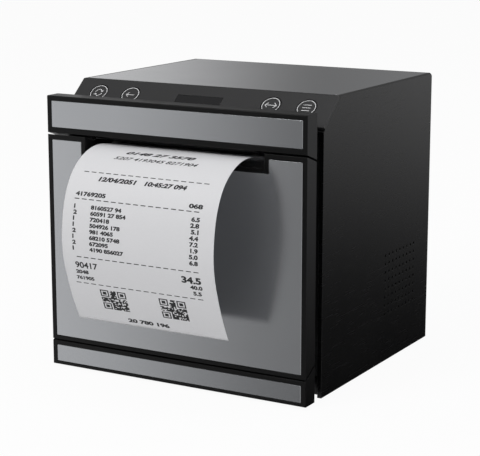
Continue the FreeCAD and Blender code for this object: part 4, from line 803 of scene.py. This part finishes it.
def laid_on_ticket(name):
    """All printed shapes as one piece: cut flat along the sheet's own rows, then laid on it."""
    flat = bmesh.new()
    for shape in printed_shapes:
        flat.faces.new([flat.verts.new((x, down, 0.0)) for x, down in shape])
    bmesh.ops.remove_doubles(flat, verts=flat.verts, dist=WELD)
    for row in range(1, SHEET_ROWS):
        bmesh.ops.bisect_plane(flat, geom=flat.verts[:] + flat.edges[:] + flat.faces[:],
                               plane_co=(0, ticket_length * row / SHEET_ROWS, 0), plane_no=(0, 1, 0))
    flat.verts.index_update()
    points = [on_ticket(vertex.co.x, vertex.co.y, INK_LIFT - TICKET_INSET) for vertex in flat.verts]
    faces = [[vertex.index for vertex in face.verts] for face in flat.faces]
    flat.free()
    return piece(name, points, faces, ink_black, "front_door")


def ticket_print():
    """Plain figures, broken rules and two cell blocks, in millimetres across and down the ticket."""
    figures("0148 27 3570", 24.5, 2.7, -18.7, 17.6, lean=0.35)
    figures("5207 4193045 8271904", 29.1, 2.2, -22.6, 21.5, bold=0.02, lean=0.35)
    dashes(-33.5, 33.7, 38.2)
    figures("12/04/2051", 42.5, 2.3, -24.3, -4.1, lean=0.2)
    figures("10:45:27 094", 42.5, 2.3, 0.2, 22.1, lean=0.2)
    figures("41769205", 50.1, 2.1, -34.4, -18.2)
    figures("068", 50.1, 2.1, 25.4, 32.5)
    dashes(-34.5, 32.4, 51.4)
    for index, (amount, code, price) in enumerate(ITEM_ROWS):
        base = FIRST_ROW + index * ROW_STEP
        figures(amount, base, 2.0, left=-34.2)
        figures(code, base, 2.0, left=-25.0)
        figures(price, base, 2.05, right=32.0)
    dashes(-32.3, 33.3, 78.0)
    figures("90417", 83.6, 3.1, -33.8, -21.7, bold=0.025)
    figures("34.5", 83.8, 3.3, 22.7, 32.7, bold=0.045)
    figures("2048", 86.5, 1.9, left=-34.1)
    figures("40.0", 86.6, 2.0, right=32.9)
    figures("761905", 89.6, 1.9, left=-34.4)
    figures("5.5", 89.6, 2.0, right=32.0)
    dashes(-35.3, 33.6, 91.4)
    code_block(-23.2, -9.3, 93.8, 104.4, 41)
    code_block(8.4, 22.3, 93.9, 104.5, 42)
    figures("20 780 196", 110.6, 2.3, -11.9, 10.2)
    return laid_on_ticket("ticket_print")


# The open door comes down over the counter; the ticket's sheet and print each get a mesh of their own.
ticket_paper = ticket_sheet()
ticket_ink = ticket_print()
for hanging in (ticket_paper, ticket_ink):
    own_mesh(hanging)


# ---------------------------------------------------------------- the head's springs
def pressed_springs():
    """Stand-in for the head's springs, riding on the case."""
    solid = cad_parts["head_springs"]
    made = placed("pressed_springs", solid.data.copy())
    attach(made, "case")
    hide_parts("head_springs")
    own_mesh(made)


pressed_springs()


# ---------------------------------------------------------------- key signs
def strokes_mesh(lines, centre_x, width):
    """Flat strips along lines drawn in millimetres on the slope, with square ends."""
    points = []
    faces = []
    for line in lines:
        closed = line[0] == line[-1]
        path = line[:-1] if closed else line
        count = len(path)
        for index, (x, up) in enumerate(path):
            before = path[index - 1] if closed or index else path[index]
            after = path[(index + 1) % count] if closed or index < count - 1 else path[index]
            run = Vector((after[0] - before[0], after[1] - before[1])).normalized()
            for side in (0.5 * width, -0.5 * width):
                points.append(slope_spot(centre_x + x - side * run.y, KEY_S + up + side * run.x, SIGN_LIFT))
        first = len(points) - 2 * count
        for index in range(count if closed else count - 1):
            a = first + 2 * index
            b = first + 2 * ((index + 1) % count)
            faces.append((a + 1, b + 1, b, a))
    return points, faces


def arc(radius, start, end, steps):
    """Points along an arc between two angles in degrees."""
    angles = [math.radians(start + (end - start) * i / steps) for i in range(steps + 1)]
    return [(radius * math.cos(angle), radius * math.sin(angle)) for angle in angles]


def towards_diamond(points):
    """Round path drawn part of the way to a diamond."""
    drawn = []
    for x, up in points:
        share = (DIAMOND_REACH / (abs(x) + abs(up))) ** DIAMOND_SHARE
        drawn.append((x * share, up * share))
    return drawn


def arrow_head(x, up, towards, size):
    """Open arrow head with its tip at the point."""
    lines = []
    for turn in (ARROW_TURN, -ARROW_TURN):
        angle = math.radians(towards + turn)
        lines.append([(x, up), (x + size * math.cos(angle), up + size * math.sin(angle))])
    return lines


def cycle_sign():
    """Two bent arrows that chase each other."""
    upper = towards_diamond(arc(CYCLE_RADIUS, 20, 170, CYCLE_STEPS))
    lower = towards_diamond(arc(CYCLE_RADIUS, 200, 350, CYCLE_STEPS))
    return [upper, lower] + arrow_head(*upper[0], -60, CYCLE_HEAD) + arrow_head(*lower[0], 120, CYCLE_HEAD)


def back_sign():
    """Arrow to the left."""
    return [[(BACK_TIP, 0.0), (BACK_TAIL, 0.0)]] + arrow_head(BACK_TIP, 0.0, 180, ARROW_HEAD)


def swap_sign():
    """Arrow to both sides."""
    heads = arrow_head(-SWAP_TIP, 0.0, 180, ARROW_HEAD) + arrow_head(SWAP_TIP, 0.0, 0, ARROW_HEAD)
    return [[(-SWAP_TIP, 0.0), (SWAP_TIP, 0.0)]] + heads


def menu_sign():
    """Three bars."""
    return [[(-MENU_HALF, up), (MENU_HALF, up)] for up in (-MENU_STEP, 0.0, MENU_STEP)]


ring = arc(RING_RADIUS, 0, 360, RING_STEPS)
ring[-1] = ring[0]
SIGNS = {"cycle": cycle_sign(), "back": back_sign(), "swap": swap_sign(), "menu": menu_sign()}
for key_name, lines in SIGNS.items():
    points, faces = strokes_mesh([ring] + lines, KEYS[key_name], SIGN_LINE)
    piece(key_name + "_sign", points, faces, sign_white, key_name + "_key_body")


# ---------------------------------------------------------------- light, floor and camera
# Level of the backdrop from left to right, as (share of the way, level).
BACKDROP = ((0.0, 1.0), (0.17, 0.94), (0.31, 0.22), (0.5, 0.18), (0.75, 0.28), (1.0, 0.7))
FLOOR_HALF = 6.0


def backdrop_ramp(tree, across):
    """Grey of the backdrop at a share of the way across it."""
    ramp = add(tree, "ShaderNodeValToRGB", {0: across})
    ramp.color_ramp.interpolation = "EASE"
    elements = ramp.color_ramp.elements
    while len(elements) < len(BACKDROP):
        elements.new(0.5)
    for element, (place, level) in zip(elements, BACKDROP):
        element.position = place
        element.color = (level, level, level * 1.01, 1)
    return ramp.outputs[0]


def studio_world():
    """White to the camera, a soft falling-off backdrop to gloss, and an even grey to the rest."""
    world = bpy.data.worlds.new("studio")
    bpy.context.scene.world = world
    world.use_nodes = True
    tree = world.node_tree
    tree.nodes.clear()
    way = split(tree, add(tree, "ShaderNodeTexCoord").outputs["Generated"])
    walls = backdrop_ramp(tree, ranged(tree, way["X"], -0.75, 0.25))
    rear = arithmetic(tree, "GREATER_THAN", way["Y"], 0.0)
    rear_right = arithmetic(tree, "MULTIPLY", rear, arithmetic(tree, "GREATER_THAN", way["X"], 0.0))
    rear_left = arithmetic(tree, "SUBTRACT", rear, rear_right)
    # The right side mirrors the rear right, which is dark low down, so the side fades downward.
    right_low = ranged(tree, way["Z"], -0.26, -0.04, 0.01, 1.0, soft=True)
    sided = blend_colour(tree, rear_right, (1, 1, 1), right_low)
    upper = ranged(tree, way["Z"], -0.12, 0.06, 1.0, 0.74, soft=True)
    walls = multiply_colours(tree, walls, multiply_colours(tree, sided, upper))
    # The top plate mirrors the rear left, which is lighter towards the middle.
    fill = ranged(tree, way["X"], -0.48, -0.37, 0.0, 0.36, soft=True)
    walls = multiply_colours(tree, walls, arithmetic(tree, "MULTIPLY_ADD", fill, rear_left, 1.0))
    backdrop = blend_colour(tree, ranged(tree, way["Z"], 0.25, 0.6), walls, (0.3, 0.3, 0.3))
    ray = add(tree, "ShaderNodeLightPath").outputs
    seen = blend_colour(tree, ray["Is Glossy Ray"], (0.3, 0.3, 0.303), backdrop)
    clear = arithmetic(tree, "MAXIMUM", ray["Is Camera Ray"], ray["Is Transmission Ray"])
    shown = blend_colour(tree, clear, seen, (1.0, 1.0, 1.0))
    light = add(tree, "ShaderNodeBackground", {"Color": shown, "Strength": 1.0})
    tree.links.new(light.outputs[0], add(tree, "ShaderNodeOutputWorld").inputs["Surface"])


def pale_floor():
    """Plain floor that reads as white and keeps a soft shadow under the case."""
    mesh = bpy.data.meshes.new("floor")
    corners = [(x * FLOOR_HALF, y * FLOOR_HALF, 0) for x, y in ((-1, -1), (1, -1), (1, 1), (-1, 1))]
    mesh.from_pydata(corners, [], [(0, 1, 2, 3)])
    floor = placed("floor", mesh)
    material, tree, shader = finish("pale_floor")
    shader.inputs["Base Color"].default_value = (0.8, 0.8, 0.8, 1)
    shader.inputs["Roughness"].default_value = 0.9
    white = add(tree, "ShaderNodeEmission", {"Color": (1, 1, 1, 1), "Strength": 1.0})
    ray = add(tree, "ShaderNodeLightPath").outputs
    share = arithmetic(tree, "MULTIPLY", ray["Is Camera Ray"], 0.95)
    mixed = add(tree, "ShaderNodeMixShader", {0: share, 1: shader.outputs[0], 2: white.outputs[0]})
    tree.links.new(mixed.outputs[0], tree.nodes["Material Output"].inputs["Surface"])
    mesh.materials.append(material)
    floor.visible_glossy = False


def soft_light(name, place, aim, size, watts):
    """Round area light that looks at a point."""
    lamp = bpy.data.lights.new(name, "AREA")
    lamp.shape = "DISK"
    lamp.size = size
    lamp.energy = watts
    holder = placed(name, lamp)
    holder.location = place
    holder.rotation_euler = (Vector(aim) - Vector(place)).to_track_quat("-Z", "Y").to_euler()


studio_world()
pale_floor()
soft_light("key_light", (-0.5, -1.5, 1.5), (0, 0, 0.06), 1.1, 21)
soft_light("top_light", (0.1, 0.1, 1.8), (0, 0, 0.1), 1.2, 7)

# The camera stands at a point in millimetres on the case; its angles are in radians.
CAMERA_CASE = (377.14, -595.71, 224.44)
CAMERA_YAW = 0.52062865
CAMERA_PITCH = -0.20962956
FOCAL_PIXELS = 1578.34
VIEW_PIXELS = 480
SENSOR = 36.0

lens = bpy.data.cameras.new("camera")
lens.sensor_fit = "HORIZONTAL"
lens.sensor_width = SENSOR
lens.lens = SENSOR * FOCAL_PIXELS / VIEW_PIXELS
lens.clip_start = 0.01
camera = placed("camera", lens)
camera.location = spot(*CAMERA_CASE)
forward = Vector((
    -math.sin(CAMERA_YAW) * math.cos(CAMERA_PITCH),
    math.cos(CAMERA_YAW) * math.cos(CAMERA_PITCH),
    math.sin(CAMERA_PITCH),
))
camera.rotation_euler = forward.to_track_quat("-Z", "Y").to_euler()
bpy.context.scene.camera = camera
bpy.context.scene.view_settings.view_transform = "Standard"
